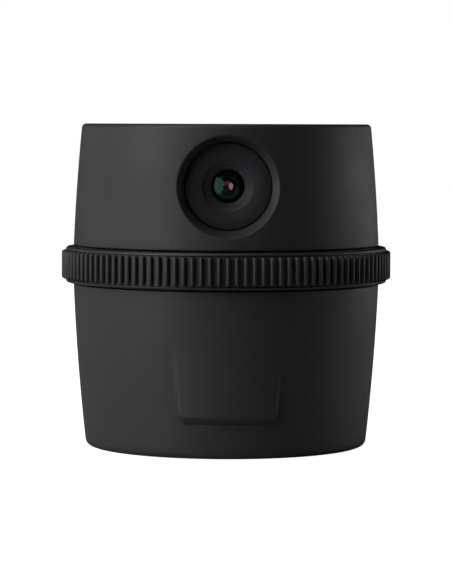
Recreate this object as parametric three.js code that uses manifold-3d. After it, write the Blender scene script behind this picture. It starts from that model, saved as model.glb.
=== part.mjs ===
// A small panning camera: a head that turns on a base, with a knurled lock ring between them.
// Millimetres, +Z up, the lens looks along -Y, and the rubber foot rests on Z = 0.
import * as THREE from 'three';
import { mergeVertices } from 'three/addons/utils/BufferGeometryUtils.js';
import Module from 'manifold-3d';

const wasm = await Module();
wasm.setup();

// ---- Driving dimensions ----

// Outer form
const bodyRadius = 30.6; // both shells where they meet the ring
const headTaper = 1.7; // how much narrower the head is at its top
const headBulge = 0.17; // how far its side stands out from a straight cone
const baseTaper = 2.5; // how much narrower the base is at its foot
const baseBulge = 0.3;
const baseHeight = 32.45;
const ringHeight = 7.1;
const headHeight = 24.25;
const ringGap = 0.3; // between the ring and the shells, with the lock undone
const footProud = 0.4; // the foot ring below the base shell
const wall = 2.0;
const roof = 3.0;
const topEdgeRound = 0.9;
const bottomEdgeRound = 1.3;

// Clearances
const slip = 0.3; // round what turns, slides or drops in
const seat = 0.15; // between faces that sit on each other

// Grip ring and its lock
const gripOverhang = 2.4; // rib tips beyond the shells
const ribDepth = 0.8;
const ribCount = 120;
const ribShare = 0.5; // of the pitch, at half height
const ribSlope = 0.1; // of the pitch, that each flank leans in or out
const shoulderHeight = 0.55;
const shoulderSetback = 0.85; // shoulder rim in from the rib tips
const bandThickness = 0.9; // rubber under the ribs
const neckInset = 3.6; // neck's outside in from the body radius
const neckWall = 2.4;
const neckShort = 0.35; // neck's rim below the ring's top
const jamThickness = 0.7;
const jamWidth = 2.5;
const keyCount = 3;
const keyWidth = 4.0;
const keyDepth = 1.3;

// Pivot
const spindleRadius = 8.0;
const spindleWall = 2.5;
const hubWall = 3.0;
const hubRise = 1.2; // above the deck
const hubDrop = 2.5; // below the deck
const deckThickness = 2.4;
const shelfWidth = 7.0;
const shelfThickness = 2.0;
const washerThickness = 0.6;
const nutThickness = 2.5;
const nutWall = 4.0;
const frameFloor = 2.0;
const frameLift = 0.6; // frame's floor above the head shell's rim
const stopCircle = 17.0;
const stopPinRadius = 1.2;
const stopTabWidth = 2.8;

// Lens and window
const lensDrop = 12.0; // lens axis below the top of the head
const recessRadius = 9.8;
const recessDepth = 2.93;
const windowRadius = 8.3;
const windowThickness = 1.0;
const windowGroove = 0.25;
const maskHole = 4.95;
const maskThickness = 0.25;
const sealThickness = 0.5;
const sealWidth = 0.7;
const ledge = 1.5; // rim of the boss behind the seal
const bossWall = 1.95;
const baffleHole = 3.25;
const baffleDepth = 2.25;
const baffleSteps = 5;
const barrelRadius = 6.0;
const barrelWall = 1.5;
const barrelLip = 0.6;
const barrelEye = 3.5;
const frontElement = { depth: 1.6, front: 0.7, back: -0.3 }; // thickness, then how far each face swells
const middleElement = { depth: 1.7, front: -0.4, back: -0.4 };
const rearElement = { depth: 1.7, front: 0.4, back: 0.3 };
const stopThickness = 0.3;
const stopHole = 1.2;
const retainerThickness = 0.9;
const retainerHole = 2.8;
const holderReach = 5.0; // how much of the barrel the holder grips
const holderWidth = 18.0;
const holderHeight = 15.0;
const sensorSide = 7.0;
const sensorThickness = 0.7;
const filterThickness = 0.35;
const filterSide = 9.0;
const boardThickness = 1.2;
const sensorBoardWidth = 25.0;
const sensorBoardHeight = 16.0;
const uprightWidth = 2.6;

// Button, lamp and boards in the head
const topCapRadius = 22.0;
const topCapThickness = 0.8;
const buttonRadius = 5.0;
const buttonFlange = 1.2;
const buttonFlangeThickness = 0.8;
const buttonSunk = 0.2;
const buttonTravel = 0.5;
const buttonDish = 0.3; // depth of the finger hollow in its top
const buttonRim = 1.0;
const plungerRadius = 1.1;
const plungerLength = 1.2;
const switchSide = 6.0;
const switchHeight = 1.8;
const buttonBoardDepth = 10.0;
const lampOffset = 10.0;
const lampRadius = 1.0;
const lampChip = 0.7;
const lampChipSide = 1.6;
const boardPostRadius = 1.1;
const postRadius = 2.2;
const mainBoardBack = 9.0; // main board behind the axis
const boardMargin = 0.8;
const canWidth = 16.0;
const canHeight = 11.0;
const canDepth = 2.0;
const ribbonWidth = 7.0;
const ribbonThickness = 0.3;
const ribbonDrop = 5.0; // below the lens axis
const ribbonSide = 7.0; // to the right of the axis
const socketDepth = 1.5;
const socketHeight = 3.0;
const harnessRadius = 1.5;
const harnessSocket = 6.0;
const ribbonSag = 2.0;
const antennaWidth = 22.0;
const antennaHeight = 5.0;
const antennaThickness = 0.6;

// Base
const plateThickness = 2.0;
const plateInset = 0.5; // plate's underside above the shell's rim
const footWidth = 6.0;
const footMargin = 2.45; // between the foot and the heads of the base screws
const footSunk = 0.6; // foot's depth in the plate
const insertRadius = 5.0;
const insertBore = 3.175; // quarter-inch tripod thread, as a plain bore
const insertCrown = 0.8;
const insertFlange = 3.0;
const insertFlangeThickness = 1.2;
const insertLength = 7.1;
const bossDepth = 5.0;
const bossWidth = 4.6;
const bossInset = 3.2; // base screws in from the shell's inside
const trayFloor = 1.0;
const trayWall = 1.2;
const batteryRoom = 1.0; // above the battery, under the charge board
const chargeRoom = 4.0; // above the charge board, under the spindle
const chargeFlat = 13.0; // flat front edge of the charge board, from the axis
const chargeMargin = 3.6; // between the charge board and the shell
const portWidth = 9.4;
const portHeight = 3.8;
const socketLength = 7.2;
const coverWidth = 14.0;
const coverHeight = 7.4;
const coverThickness = 1.3;
const coverPin = 0.65;
const coverSunk = 0.1; // cover's face below the shell's, at its middle
const coverLipWidth = 1.2;
const coverLipDepth = 1.4;
const coverLipInset = 1.0; // the pull lip in from the cover's free end
const portPadWall = 1.6; // shell left behind the cover's pocket
const leadRadius = 0.7;
const plugWidth = 5.0;
const plugDepth = 4.0;
const plugHeight = 2.2;

// Front pad of the base
const padTop = 22.5;
const padBottom = 7.2;
const padTopWidth = 21.9;
const padBottomWidth = 18.9;
const padRise = 1.0;
const padStep = 1.6; // height of the slope at the pad's lower end

// Screws
const screwRadius = 0.9;
const screwHead = 1.7;
const screwHeadHeight = 1.1;
const screwLength = 4.5;
const holeRadius = screwRadius + 0.2;

// Facets round a full turn
const shellFacets = 36;
const dishFacets = 24;
const lensFacets = 16;
const smallFacets = 8;
const wireSteps = 10;

// ---- Levels and radii that follow from them ----

const baseFoot = footProud;
const baseRim = baseFoot + baseHeight;
const ringFoot = baseRim + ringGap;
const ringTop = ringFoot + ringHeight;
const headFoot = ringTop + ringGap;
const headTop = headFoot + headHeight;
const roofUnder = headTop - roof;
const lensAxis = headTop - lensDrop;

const side = (foot, rim, bulge, t) => foot + (rim - foot) * t + 4 * bulge * t * (1 - t);
const headSide = (z) => side(bodyRadius, bodyRadius - headTaper, headBulge, (z - headFoot) / headHeight);
const baseSide = (z) => side(bodyRadius - baseTaper, bodyRadius, baseBulge, (z - baseFoot) / baseHeight);

const tipRadius = bodyRadius + gripOverhang;
const bandRadius = tipRadius - ribDepth;
const neckRadius = bodyRadius - neckInset;
const neckRim = ringTop - neckShort;
const jamInner = neckRadius + slip;
const jamOuter = jamInner + jamWidth;
const deckUnder = baseRim - deckThickness;
const shelfTop = deckUnder - seat;
const shelfUnder = shelfTop - shelfThickness;
const shelfOuter = bodyRadius - wall;
const deckScrewCircle = shelfOuter - shelfWidth / 2;
const hubRadius = spindleRadius + slip + hubWall;
const hubTop = baseRim + hubRise;
const hubUnder = deckUnder - hubDrop;
const frameUnder = headFoot + frameLift;
const frameTop = frameUnder + frameFloor;
const spindleFoot = hubUnder - nutThickness - 3 * seat;
const postCircle = headSide(headTop) - wall - postRadius + slip;

// Distances outward from the body's axis along the lens axis
const windowFace = headSide(lensAxis) - recessDepth;
const windowBack = windowFace - windowThickness;
const maskBack = windowBack - seat - maskThickness;
const sealBack = maskBack - seat - sealThickness;
const ledgeFace = sealBack - seat;
const bossBack = ledgeFace - ledge;
const pocketRadius = windowRadius + windowGroove;
const boreRadius = windowRadius - sealWidth - seat;
const baffleFace = maskBack - seat;
const baffleBack = baffleFace - baffleDepth;
const barrelFace = baffleBack - seat;
const elementRadius = barrelRadius - barrelWall - seat;
const frontFace = barrelFace - barrelLip - seat;
const middleFace = frontFace - frontElement.depth - seat;
const stopFace = middleFace - middleElement.depth - seat;
const rearFace = stopFace - stopThickness - seat;
const retainerFace = rearFace - rearElement.depth - seat;
const barrelBack = retainerFace - retainerThickness;
const filterFace = barrelBack - slip;
const sensorFace = filterFace - filterThickness - seat;
const sensorBoardFace = sensorFace - sensorThickness - seat;
const sensorBoardBack = sensorBoardFace - boardThickness;
const holderFace = barrelBack + holderReach;
const skirtBack = holderFace + seat;

const buttonTop = headTop - buttonSunk;
const flangeTop = roofUnder - seat;
const plungerTop = flangeTop - buttonFlangeThickness - seat;
const plungerFoot = plungerTop - plungerLength;
const switchTop = plungerFoot + slip;
const buttonBoardTop = switchTop - switchHeight - seat;
const buttonBoardHalf = buttonRadius + buttonFlange + slip + 2 * boardPostRadius;

const plateUnder = baseFoot + plateInset;
const plateTop = plateUnder + plateThickness;
const plateRadius = bodyRadius - baseTaper - wall - slip;
const bossTop = plateTop + seat + bossDepth;
const baseScrewCircle = baseSide(plateTop) - wall - bossInset;
const footOuter = baseScrewCircle - screwHead - footMargin;
const footInner = footOuter - footWidth;
const insertTop = plateUnder + insertLength;
const trayUnder = Math.max(bossTop, insertTop) + seat;
const trayHalf = (baseSide(trayUnder) - wall - 2 * slip) / Math.SQRT2;
const chargeTop = spindleFoot - chargeRoom;
const chargeUnder = chargeTop - boardThickness;
const chargeRadius = baseSide(chargeUnder) - wall - chargeMargin;
const batteryTop = chargeUnder - batteryRoom;
const batteryUnder = trayUnder + trayFloor + seat;
const batteryHalf = trayHalf - trayWall - slip;
const portLevel = chargeTop + seat + portHeight / 2;
const coverBack = baseSide(portLevel - coverHeight / 2) - coverThickness - 4 * coverSunk;
const pocketFloor = coverBack - slip;
const portPadFace = pocketFloor - portPadWall;

// ---- Shape helpers ----

const v2 = (x, y) => new THREE.Vector2(x, y);

// A body turned about Z from [radius, height] points that run anticlockwise.
function turned(points, facets) {
  const outline = points.map(([r, z]) => v2(r, z));
  const onAxis = points[0][0] === 0;
  if (!onAxis) outline.push(outline[0].clone());
  return new THREE.LatheGeometry(outline, facets).rotateX(Math.PI / 2);
}

function disc(radius, low, high, facets) {
  return turned([[0, low], [radius, low], [radius, high], [0, high]], facets);
}

function hoop(inner, outer, low, high, facets) {
  return turned([[outer, low], [outer, high], [inner, high], [inner, low]], facets);
}

function block(width, depth, low, high, x = 0, y = 0) {
  return new THREE.BoxGeometry(width, depth, high - low).translate(x, y, (low + high) / 2);
}

// A quarter round from one direction to the next, about a centre, in [radius, height] points.
function arc(radius, height, size, from, to, steps) {
  return Array.from({ length: steps + 1 }, (_, i) => {
    const angle = THREE.MathUtils.degToRad(from + ((to - from) * i) / steps);
    return [radius + size * Math.cos(angle), height + size * Math.sin(angle)];
  });
}

function spread(from, to, steps, point) {
  return Array.from({ length: steps + 1 }, (_, i) => point(from + ((to - from) * i) / steps));
}

// Lens pieces are turned about Z and then laid along the lens axis, looking to -Y.
const toLens = (geometry) => geometry.rotateX(Math.PI / 2).translate(0, 0, lensAxis);

function solid(geometry) {
  const bare = geometry.clone();
  bare.deleteAttribute('normal');
  bare.deleteAttribute('uv');
  const merged = mergeVertices(bare, 1e-4);
  const faces = [];
  const index = merged.index.array;
  for (let i = 0; i < index.length; i += 3) {
    const [a, b, c] = [index[i], index[i + 1], index[i + 2]];
    if (a !== b && b !== c && a !== c) faces.push(a, b, c);
  }
  const vertProperties = merged.attributes.position.array;
  return new wasm.Manifold(new wasm.Mesh({ numProp: 3, vertProperties, triVerts: new Uint32Array(faces) }));
}

function carve(body, joined, cuts) {
  let shape = solid(body);
  for (const piece of joined) shape = shape.add(solid(piece));
  for (const piece of cuts) shape = shape.subtract(solid(piece));
  return meshed(shape);
}

// What two closed shapes have in common.
function common(one, other) {
  return meshed(solid(one).intersect(solid(other)));
}

function meshed(shape) {
  const { vertProperties, triVerts } = shape.getMesh();
  const geometry = new THREE.BufferGeometry();
  geometry.setAttribute('position', new THREE.BufferAttribute(vertProperties, 3));
  geometry.setIndex(new THREE.BufferAttribute(triVerts, 1));
  geometry.computeVertexNormals();
  return geometry;
}

// Points spaced evenly round Z; the first one is at the given angle in degrees.
function around(count, radius, first) {
  return Array.from({ length: count }, (_, i) => {
    const angle = THREE.MathUtils.degToRad(first + (360 * i) / count);
    return { x: radius * Math.cos(angle), y: radius * Math.sin(angle), angle };
  });
}

function screw() {
  const shank = screwLength;
  return turned(
    [[0, -screwHeadHeight], [screwHead, -screwHeadHeight], [screwHead, 0], [screwRadius, 0],
      [screwRadius, shank], [0, shank]],
    smallFacets,
  );
}

// ---- Finishes ----

const finishes = {
  softBlack: { color: 0x1b1b1c, roughness: 0.62, metalness: 0 },
  rubber: { color: 0x151516, roughness: 0.75, metalness: 0 },
  darkPlastic: { color: 0x222224, roughness: 0.5, metalness: 0 },
  glass: { color: 0x3a4a52, roughness: 0.05, metalness: 0 },
  mask: { color: 0x0d0d0f, roughness: 0.35, metalness: 0 },
  anodised: { color: 0x18181a, roughness: 0.35, metalness: 0.8 },
  steel: { color: 0xa8abb0, roughness: 0.35, metalness: 1 },
  brass: { color: 0xb89a55, roughness: 0.35, metalness: 1 },
  board: { color: 0x1f5a38, roughness: 0.5, metalness: 0 },
  chip: { color: 0x2a2c30, roughness: 0.4, metalness: 0 },
  foil: { color: 0x8d9298, roughness: 0.4, metalness: 0.6 },
  flex: { color: 0xb5762a, roughness: 0.45, metalness: 0 },
  lamp: { color: 0xe8ecec, roughness: 0.2, metalness: 0 },
  acetal: { color: 0xd9d6cc, roughness: 0.4, metalness: 0 },
};

const camera = new THREE.Group();

function place(parent, name, finish, geometry, x = 0, y = 0, z = 0) {
  const mesh = new THREE.Mesh(geometry, new THREE.MeshStandardMaterial(finishes[finish]));
  mesh.name = name;
  mesh.position.set(x, y, z);
  parent.add(mesh);
  return mesh;
}

// ---- Base ----

function basePad() {
  const steps = 3;
  const rise = (z) => padRise * (padTop - z) / (padTop - padBottom - padStep);
  const swell = (z) => baseSide(z) + rise(z);
  const face = spread(padBottom + padStep, padTop, steps, (z) => [swell(z), z]);
  const inner = bodyRadius - baseTaper - wall / 2;
  const bulk = turned([
    [inner, padBottom], [baseSide(padBottom) - seat, padBottom], ...face, [inner, padTop],
  ], shellFacets);
  const outline = new THREE.Shape([
    v2(-padBottomWidth / 2, padBottom), v2(padBottomWidth / 2, padBottom),
    v2(padTopWidth / 2, padTop), v2(-padTopWidth / 2, padTop),
  ]);
  const prism = new THREE.ExtrudeGeometry(outline, { depth: tipRadius, bevelEnabled: false, steps: 1 });
  return common(bulk, prism.rotateX(Math.PI / 2));
}

// The thick patch inside the shell that leaves the port cover's pocket a floor.
function portPad() {
  const low = portLevel - coverHeight / 2 - wall;
  const high = portLevel + coverHeight / 2 + wall;
  const middle = wall / 2;
  const bulk = hoop(portPadFace - wall, baseSide(low) - middle, low, high, shellFacets);
  return common(bulk, block(coverWidth + 2 * wall, bodyRadius, low, high, 0, portPadFace + bodyRadius / 2));
}

function baseShell() {
  const edge = bottomEdgeRound;
  const shape = turned([
    [baseSide(baseFoot) - wall, baseFoot],
    ...arc(baseSide(baseFoot + edge) - edge, baseFoot + edge, edge, -90, 0, 3),
    ...spread(baseFoot + 2 * edge, baseRim, 5, (z) => [baseSide(z), z]),
    [shelfOuter, baseRim],
    [shelfOuter, shelfTop],
    [shelfOuter - shelfWidth, shelfTop],
    [shelfOuter - shelfWidth, shelfUnder],
    ...spread(shelfUnder, plateTop, 3, (z) => [baseSide(z) - wall, z]),
  ], shellFacets);
  const bossOuter = baseSide(plateTop) - wall / 2;
  const bossInner = baseScrewCircle - bossWidth / 2;
  const bosses = around(3, (bossOuter + bossInner) / 2, 30).map(({ x, y, angle }) => block(
    bossOuter - bossInner, bossWidth, plateTop + seat, bossTop,
  ).rotateZ(angle).translate(x, y, 0));
  const screwHoles = around(3, baseScrewCircle, 30).map(({ x, y }) => disc(
    holeRadius, plateTop, bossTop - seat, smallFacets,
  ).translate(x, y, 0));
  const deckHoles = around(3, deckScrewCircle, 30).map(({ x, y }) => disc(
    holeRadius, shelfUnder - seat, shelfTop + seat, smallFacets,
  ).translate(x, y, 0));
  const pocket = block(coverWidth + 2 * slip, wall * 4, portLevel - coverHeight / 2 - slip,
    portLevel + coverHeight / 2 + slip, 0, pocketFloor + wall * 2);
  const portLow = portLevel - portHeight / 2;
  const port = block(portWidth, wall * 8, portLow, portLow + portHeight, 0, pocketFloor);
  return carve(shape, [basePad(), portPad(), ...bosses], [pocket, port, ...screwHoles, ...deckHoles]);
}

function pivotDeck() {
  const shape = turned([
    [spindleRadius + slip, hubUnder],
    [hubRadius, hubUnder],
    [hubRadius, deckUnder],
    [shelfOuter - slip, deckUnder],
    [shelfOuter - slip, baseRim],
    [neckRadius, baseRim],
    [neckRadius, neckRim],
    [neckRadius - neckWall, neckRim],
    [neckRadius - neckWall, baseRim],
    [hubRadius, baseRim],
    [hubRadius, hubTop],
    [spindleRadius + slip, hubTop],
  ], shellFacets);
  const keyDeep = jamThickness + 2 * slip + neckShort;
  const slots = around(keyCount, neckRadius, 90).map(({ x, y, angle }) => block(
    2 * (keyDepth + slip), keyWidth + 2 * slip, ringTop - keyDeep - slip, ringTop,
  ).rotateZ(angle).translate(x, y, 0));
  const holes = around(3, deckScrewCircle, 30).map(({ x, y }) => disc(
    holeRadius, deckUnder - seat, deckUnder + screwLength - shelfThickness + seat, smallFacets,
  ).translate(x, y, 0));
  const pinHole = disc(stopPinRadius + seat, baseRim - deckThickness / 2, baseRim + seat, smallFacets)
    .translate(0, stopCircle, 0);
  return carve(shape, [], [...slots, ...holes, pinHole]);
}

function basePlate() {
  const shape = turned([
    [insertRadius + slip, plateUnder],
    [footInner - slip, plateUnder],
    [footInner - slip, plateUnder + footSunk],
    [footOuter + slip, plateUnder + footSunk],
    [footOuter + slip, plateUnder],
    [plateRadius, plateUnder],
    [plateRadius, plateTop],
    [insertRadius + slip, plateTop],
  ], shellFacets);
  const sinkTop = plateUnder + screwHeadHeight + seat;
  const holes = around(3, baseScrewCircle, 30).flatMap(({ x, y }) => [
    disc(holeRadius, plateUnder - slip, plateTop + slip, smallFacets).translate(x, y, 0),
    disc(screwHead + seat, plateUnder - slip, sinkTop, smallFacets).translate(x, y, 0),
  ]);
  return carve(shape, [], holes);
}

function tripodInsert() {
  return turned([
    [0, insertTop - insertCrown],
    [insertBore, insertTop - insertCrown],
    [insertBore, plateUnder],
    [insertRadius, plateUnder],
    [insertRadius, plateTop + seat],
    [insertRadius + insertFlange, plateTop + seat],
    [insertRadius + insertFlange, plateTop + seat + insertFlangeThickness],
    [insertRadius, plateTop + seat + insertFlangeThickness],
    [insertRadius, insertTop],
    [0, insertTop],
  ], lensFacets);
}

function batteryTray() {
  const open = trayHalf - trayWall;
  const outer = block(2 * trayHalf, 2 * trayHalf, trayUnder, batteryTop - slip);
  const inner = block(2 * open, 2 * open, trayUnder + trayFloor, batteryTop);
  return carve(outer, [], [inner]);
}

function chargeBoard() {
  const round = disc(chargeRadius, chargeUnder, chargeTop, lensFacets);
  const front = block(2 * bodyRadius, bodyRadius, chargeUnder - slip, chargeTop + slip, 0,
    -chargeFlat - bodyRadius / 2);
  return carve(round, [], [front]);
}

// An open-mouthed steel shell with the contact tongue inside, its mouth toward +Y.
function usbSocket() {
  const wide = portWidth - 2 * slip;
  const tall = portHeight - 2 * slip;
  const rim = 0.35;
  const floor = 1.2;
  const side = 1.2; // between the tongue and the shell
  const outer = block(wide, socketLength, -tall / 2, tall / 2);
  const hollow = block(wide - 2 * rim, socketLength, rim - tall / 2, tall / 2 - rim, 0, floor);
  const tongue = block(wide - 2 * rim - 2 * side, socketLength - floor, -rim, rim);
  return carve(outer, [], [meshed(solid(hollow).subtract(solid(tongue)))]);
}

// The bundle leaves the battery, rises past the board's flat edge and drops to its socket.
function lead(points, radius) {
  const outline = new THREE.Shape();
  outline.absarc(0, 0, radius, 0, 2 * Math.PI);
  const path = new THREE.CatmullRomCurve3(points.map(([x, y, z]) => new THREE.Vector3(x, y, z)));
  return new THREE.ExtrudeGeometry(outline, { steps: wireSteps, curveSegments: 3, extrudePath: path });
}

// The cover follows the base's curve; a round bead at one side lies on the hinge's axis.
const coverAxis = { x: coverPin - coverWidth / 2, y: coverBack + coverPin };

function portCover() {
  const low = portLevel - coverHeight / 2;
  const high = portLevel + coverHeight / 2;
  const skin = hoop(coverBack - wall, baseSide(portLevel) - coverSunk, low, high, shellFacets);
  const span = coverWidth / 2 - coverAxis.x;
  const reach = block(span, wall * 4, low, high, coverAxis.x + span / 2, coverBack + wall * 2);
  const bead = disc(coverPin, low, high, smallFacets).translate(coverAxis.x, coverAxis.y, 0);
  const lip = block(coverLipWidth, coverLipDepth, low + coverLipDepth, high - coverLipDepth,
    coverWidth / 2 - coverLipInset, baseSide(portLevel) - coverLipInset);
  return carve(common(skin, reach), [bead, lip], []);
}

function addBase() {
  const base = new THREE.Group();
  camera.add(base);
  place(base, 'base_shell', 'softBlack', baseShell());
  place(base, 'pivot_deck', 'darkPlastic', pivotDeck());
  place(base, 'thrust_washer', 'acetal',
    hoop(spindleRadius + slip, hubRadius, 0, washerThickness, lensFacets), 0, 0, hubTop + seat);
  const pinFoot = baseRim - deckThickness / 2 + seat;
  const pin = disc(stopPinRadius, pinFoot, frameUnder - 2 * slip, smallFacets);
  place(base, 'stop_pin', 'steel', pin, 0, stopCircle, 0);
  around(3, deckScrewCircle, 30).forEach(({ x, y }, i) => {
    place(base, `deck_screw_${i + 1}`, 'steel', screw(), x, y, shelfUnder - seat);
  });
  place(base, 'base_plate', 'darkPlastic', basePlate());
  const footTop = plateUnder + footSunk - seat;
  place(base, 'foot_ring', 'rubber', hoop(footInner, footOuter, 0, footTop, shellFacets));
  place(base, 'tripod_insert', 'brass', tripodInsert());
  around(3, baseScrewCircle, 30).forEach(({ x, y }, i) => {
    place(base, `base_screw_${i + 1}`, 'steel', screw(), x, y, plateUnder + screwHeadHeight);
  });
  place(base, 'battery_tray', 'darkPlastic', batteryTray());
  place(base, 'battery', 'foil', block(2 * batteryHalf, 2 * batteryHalf, batteryUnder, batteryTop));
  place(base, 'charge_board', 'board', chargeBoard());
  const leadX = chargeFlat / 2;
  const leadY = -chargeFlat - 2 * leadRadius;
  const plugY = plugDepth * 0.75 - chargeFlat;
  const plugTop = chargeTop + seat + plugHeight;
  const plug = block(plugWidth, plugDepth, chargeTop + seat, plugTop, leadX, plugY);
  place(base, 'battery_socket', 'acetal', plug);
  const bend = 2 * leadRadius;
  place(base, 'battery_lead', 'flex', lead([
    [leadX, leadY, batteryTop + slip],
    [leadX, leadY, chargeTop + bend],
    [leadX, leadY + bend, plugTop + bend],
    [leadX, plugY - leadRadius / 2, plugTop + bend],
    [leadX, plugY, plugTop + slip],
  ], leadRadius));
  place(base, 'usb_socket', 'steel', usbSocket(), 0, pocketFloor - 2 * slip - socketLength / 2, portLevel);
  place(base, 'harness_socket', 'acetal', block(harnessSocket, harnessSocket, chargeTop + seat,
    spindleFoot - slip));
}

function addCover() {
  place(camera, 'port_cover', 'rubber', portCover());
}

// ---- Lock ring ----

function ringCore() {
  const floor = bandRadius - bandThickness;
  const rim = tipRadius - shoulderSetback;
  const round = shoulderHeight - seat;
  return turned([
    [neckRadius + slip, ringFoot],
    [rim - round, ringFoot],
    [rim, ringFoot + round],
    [rim, ringFoot + shoulderHeight],
    [floor, ringFoot + shoulderHeight],
    [floor, ringTop - shoulderHeight],
    [rim, ringTop - shoulderHeight],
    [rim, ringTop - round],
    [rim - round, ringTop],
    [jamOuter + slip, ringTop],
    [jamOuter + slip, ringTop - jamThickness - seat],
    [neckRadius + slip, ringTop - jamThickness - seat],
  ], shellFacets);
}

// One rib at every pitch, flat-topped with sloping flanks, round the whole band.
function gripBand() {
  const pitch = (2 * Math.PI) / ribCount;
  const foot = pitch * (ribShare / 2 + ribSlope);
  const tip = pitch * (ribShare / 2 - ribSlope);
  const flank = [[-foot, bandRadius], [-tip, tipRadius], [tip, tipRadius], [foot, bandRadius]];
  const outline = new THREE.Shape(Array.from({ length: ribCount }, (_, i) => flank.map(([turn, r]) => v2(
    r * Math.cos(i * pitch + turn), r * Math.sin(i * pitch + turn),
  ))).flat());
  const hole = new THREE.Path();
  const inner = bandRadius - bandThickness + seat;
  hole.setFromPoints(around(shellFacets, inner, 0).map(({ x, y }) => v2(x, y)));
  outline.holes.push(hole);
  const low = ringFoot + shoulderHeight + seat;
  const depth = ringTop - shoulderHeight - seat - low;
  return new THREE.ExtrudeGeometry(outline, { depth, bevelEnabled: false, steps: 1 }).translate(0, 0, low);
}

function jamWasher() {
  const low = ringTop - jamThickness;
  const keys = around(keyCount, jamInner, 90).map(({ x, y, angle }) => block(
    2 * keyDepth, keyWidth, low, ringTop,
  ).rotateZ(angle).translate(x, y, 0));
  return carve(hoop(jamInner, jamOuter, low, ringTop, shellFacets), keys, []);
}

function addRing() {
  place(camera, 'jam_washer', 'darkPlastic', jamWasher());
  place(camera, 'lock_ring', 'darkPlastic', ringCore());
  place(camera, 'grip_band', 'rubber', gripBand());
}

// ---- Head ----

function headShell() {
  const edge = topEdgeRound;
  const shape = turned([
    [headSide(headFoot) - wall, headFoot],
    ...spread(headFoot, headTop - 2 * edge, 4, (z) => [headSide(z), z]),
    ...arc(headSide(headTop - edge) - edge, headTop - edge, edge, 0, 90, 3),
    [topCapRadius + seat, headTop],
    [topCapRadius + seat, headTop - topCapThickness - seat],
    [buttonRadius + slip, headTop - topCapThickness - seat],
    [buttonRadius + slip, roofUnder],
    [headSide(roofUnder) - wall, roofUnder],
    ...spread(roofUnder, frameTop, 3, (z) => [headSide(z) - wall, z]).slice(1),
  ], shellFacets);
  const boss = toLens(disc(pocketRadius + bossWall, bossBack, windowFace, dishFacets));
  const posts = around(3, postCircle, 90).map(({ x, y }) => disc(
    postRadius, frameTop + seat, roofUnder + seat, smallFacets,
  ).translate(x, y, 0));
  const boardPostX = buttonBoardHalf - boardPostRadius;
  const boardPostY = buttonBoardDepth / 2 - 2 * boardPostRadius;
  const boardPosts = [-1, 1].map((way) => disc(
    boardPostRadius, buttonBoardTop + seat, roofUnder + seat, smallFacets,
  ).translate(way * boardPostX, way * boardPostY, 0));
  const outside = recessRadius - pocketRadius;
  const dish = toLens(turned([
    [0, bossBack - wall], [boreRadius, bossBack - wall], [boreRadius, ledgeFace], [pocketRadius, ledgeFace],
    [pocketRadius, windowFace], [recessRadius + outside, windowFace + 2 * recessDepth],
    [0, windowFace + 2 * recessDepth],
  ], dishFacets));
  const holes = around(3, postCircle, 90).map(({ x, y }) => disc(
    holeRadius, frameTop, frameTop + screwLength, smallFacets,
  ).translate(x, y, 0));
  const lampHole = disc(lampRadius + seat, roofUnder - seat, headTop, smallFacets)
    .translate(lampOffset, 0, 0);
  return carve(shape, [boss, ...posts, ...boardPosts], [dish, lampHole, ...holes]);
}

function topCap() {
  const shape = hoop(buttonRadius + slip, topCapRadius, headTop - topCapThickness, headTop, shellFacets);
  const lampHole = disc(lampRadius + seat, headTop - wall, headTop + seat, smallFacets)
    .translate(lampOffset, 0, 0);
  return carve(shape, [], [lampHole]);
}

function headFrame() {
  const shape = turned([
    [spindleRadius - spindleWall, spindleFoot],
    [spindleRadius, spindleFoot],
    [spindleRadius, hubTop + washerThickness + 2 * seat],
    [hubRadius, hubTop + washerThickness + 2 * seat],
    [hubRadius, frameUnder],
    [headSide(frameTop) - wall - slip, frameUnder],
    [headSide(frameTop) - wall - slip, frameTop],
    [spindleRadius - spindleWall, frameTop],
  ], shellFacets);
  const tab = block(stopTabWidth, 2 * stopPinRadius, baseRim + slip, frameUnder + seat, 0, -stopCircle);
  const uprightX = holderWidth / 2 + slip + uprightWidth / 2;
  const uprightTop = lensAxis + holderHeight / 2;
  const uprights = [-1, 1].map((way) => block(
    uprightWidth, holderReach, frameTop - seat, uprightTop, way * uprightX, holderReach / 2 - holderFace,
  ));
  const sinkTop = frameUnder + screwHeadHeight + seat;
  const holes = around(3, postCircle, 90).flatMap(({ x, y }) => [
    disc(holeRadius, frameUnder - slip, frameTop + slip, smallFacets).translate(x, y, 0),
    disc(screwHead + seat, frameUnder - slip, sinkTop, smallFacets).translate(x, y, 0),
  ]);
  const bossRoom = toLens(disc(pocketRadius + bossWall + slip, bossBack - slip, bodyRadius, dishFacets));
  return carve(shape, [tab, ...uprights], [...holes, bossRoom]);
}

function spindleNut() {
  const sides = 6;
  const hex = disc(spindleRadius + nutWall, 0, nutThickness, sides);
  const bore = disc(spindleRadius + seat, -slip, nutThickness + slip, shellFacets);
  return carve(hex, [], [bore]);
}

function addHeadFrame(head) {
  place(head, 'head_shell', 'softBlack', headShell());
  place(head, 'top_cap', 'softBlack', topCap());
  place(head, 'head_frame', 'darkPlastic', headFrame());
  place(head, 'spindle_nut', 'steel', spindleNut(), 0, 0, hubUnder - seat - nutThickness);
  around(3, postCircle, 90).forEach(({ x, y }, i) => {
    place(head, `head_screw_${i + 1}`, 'steel', screw(), x, y, frameUnder + screwHeadHeight);
  });
}

// ---- Lens, in a group whose Z runs outward along the lens axis ----

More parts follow.
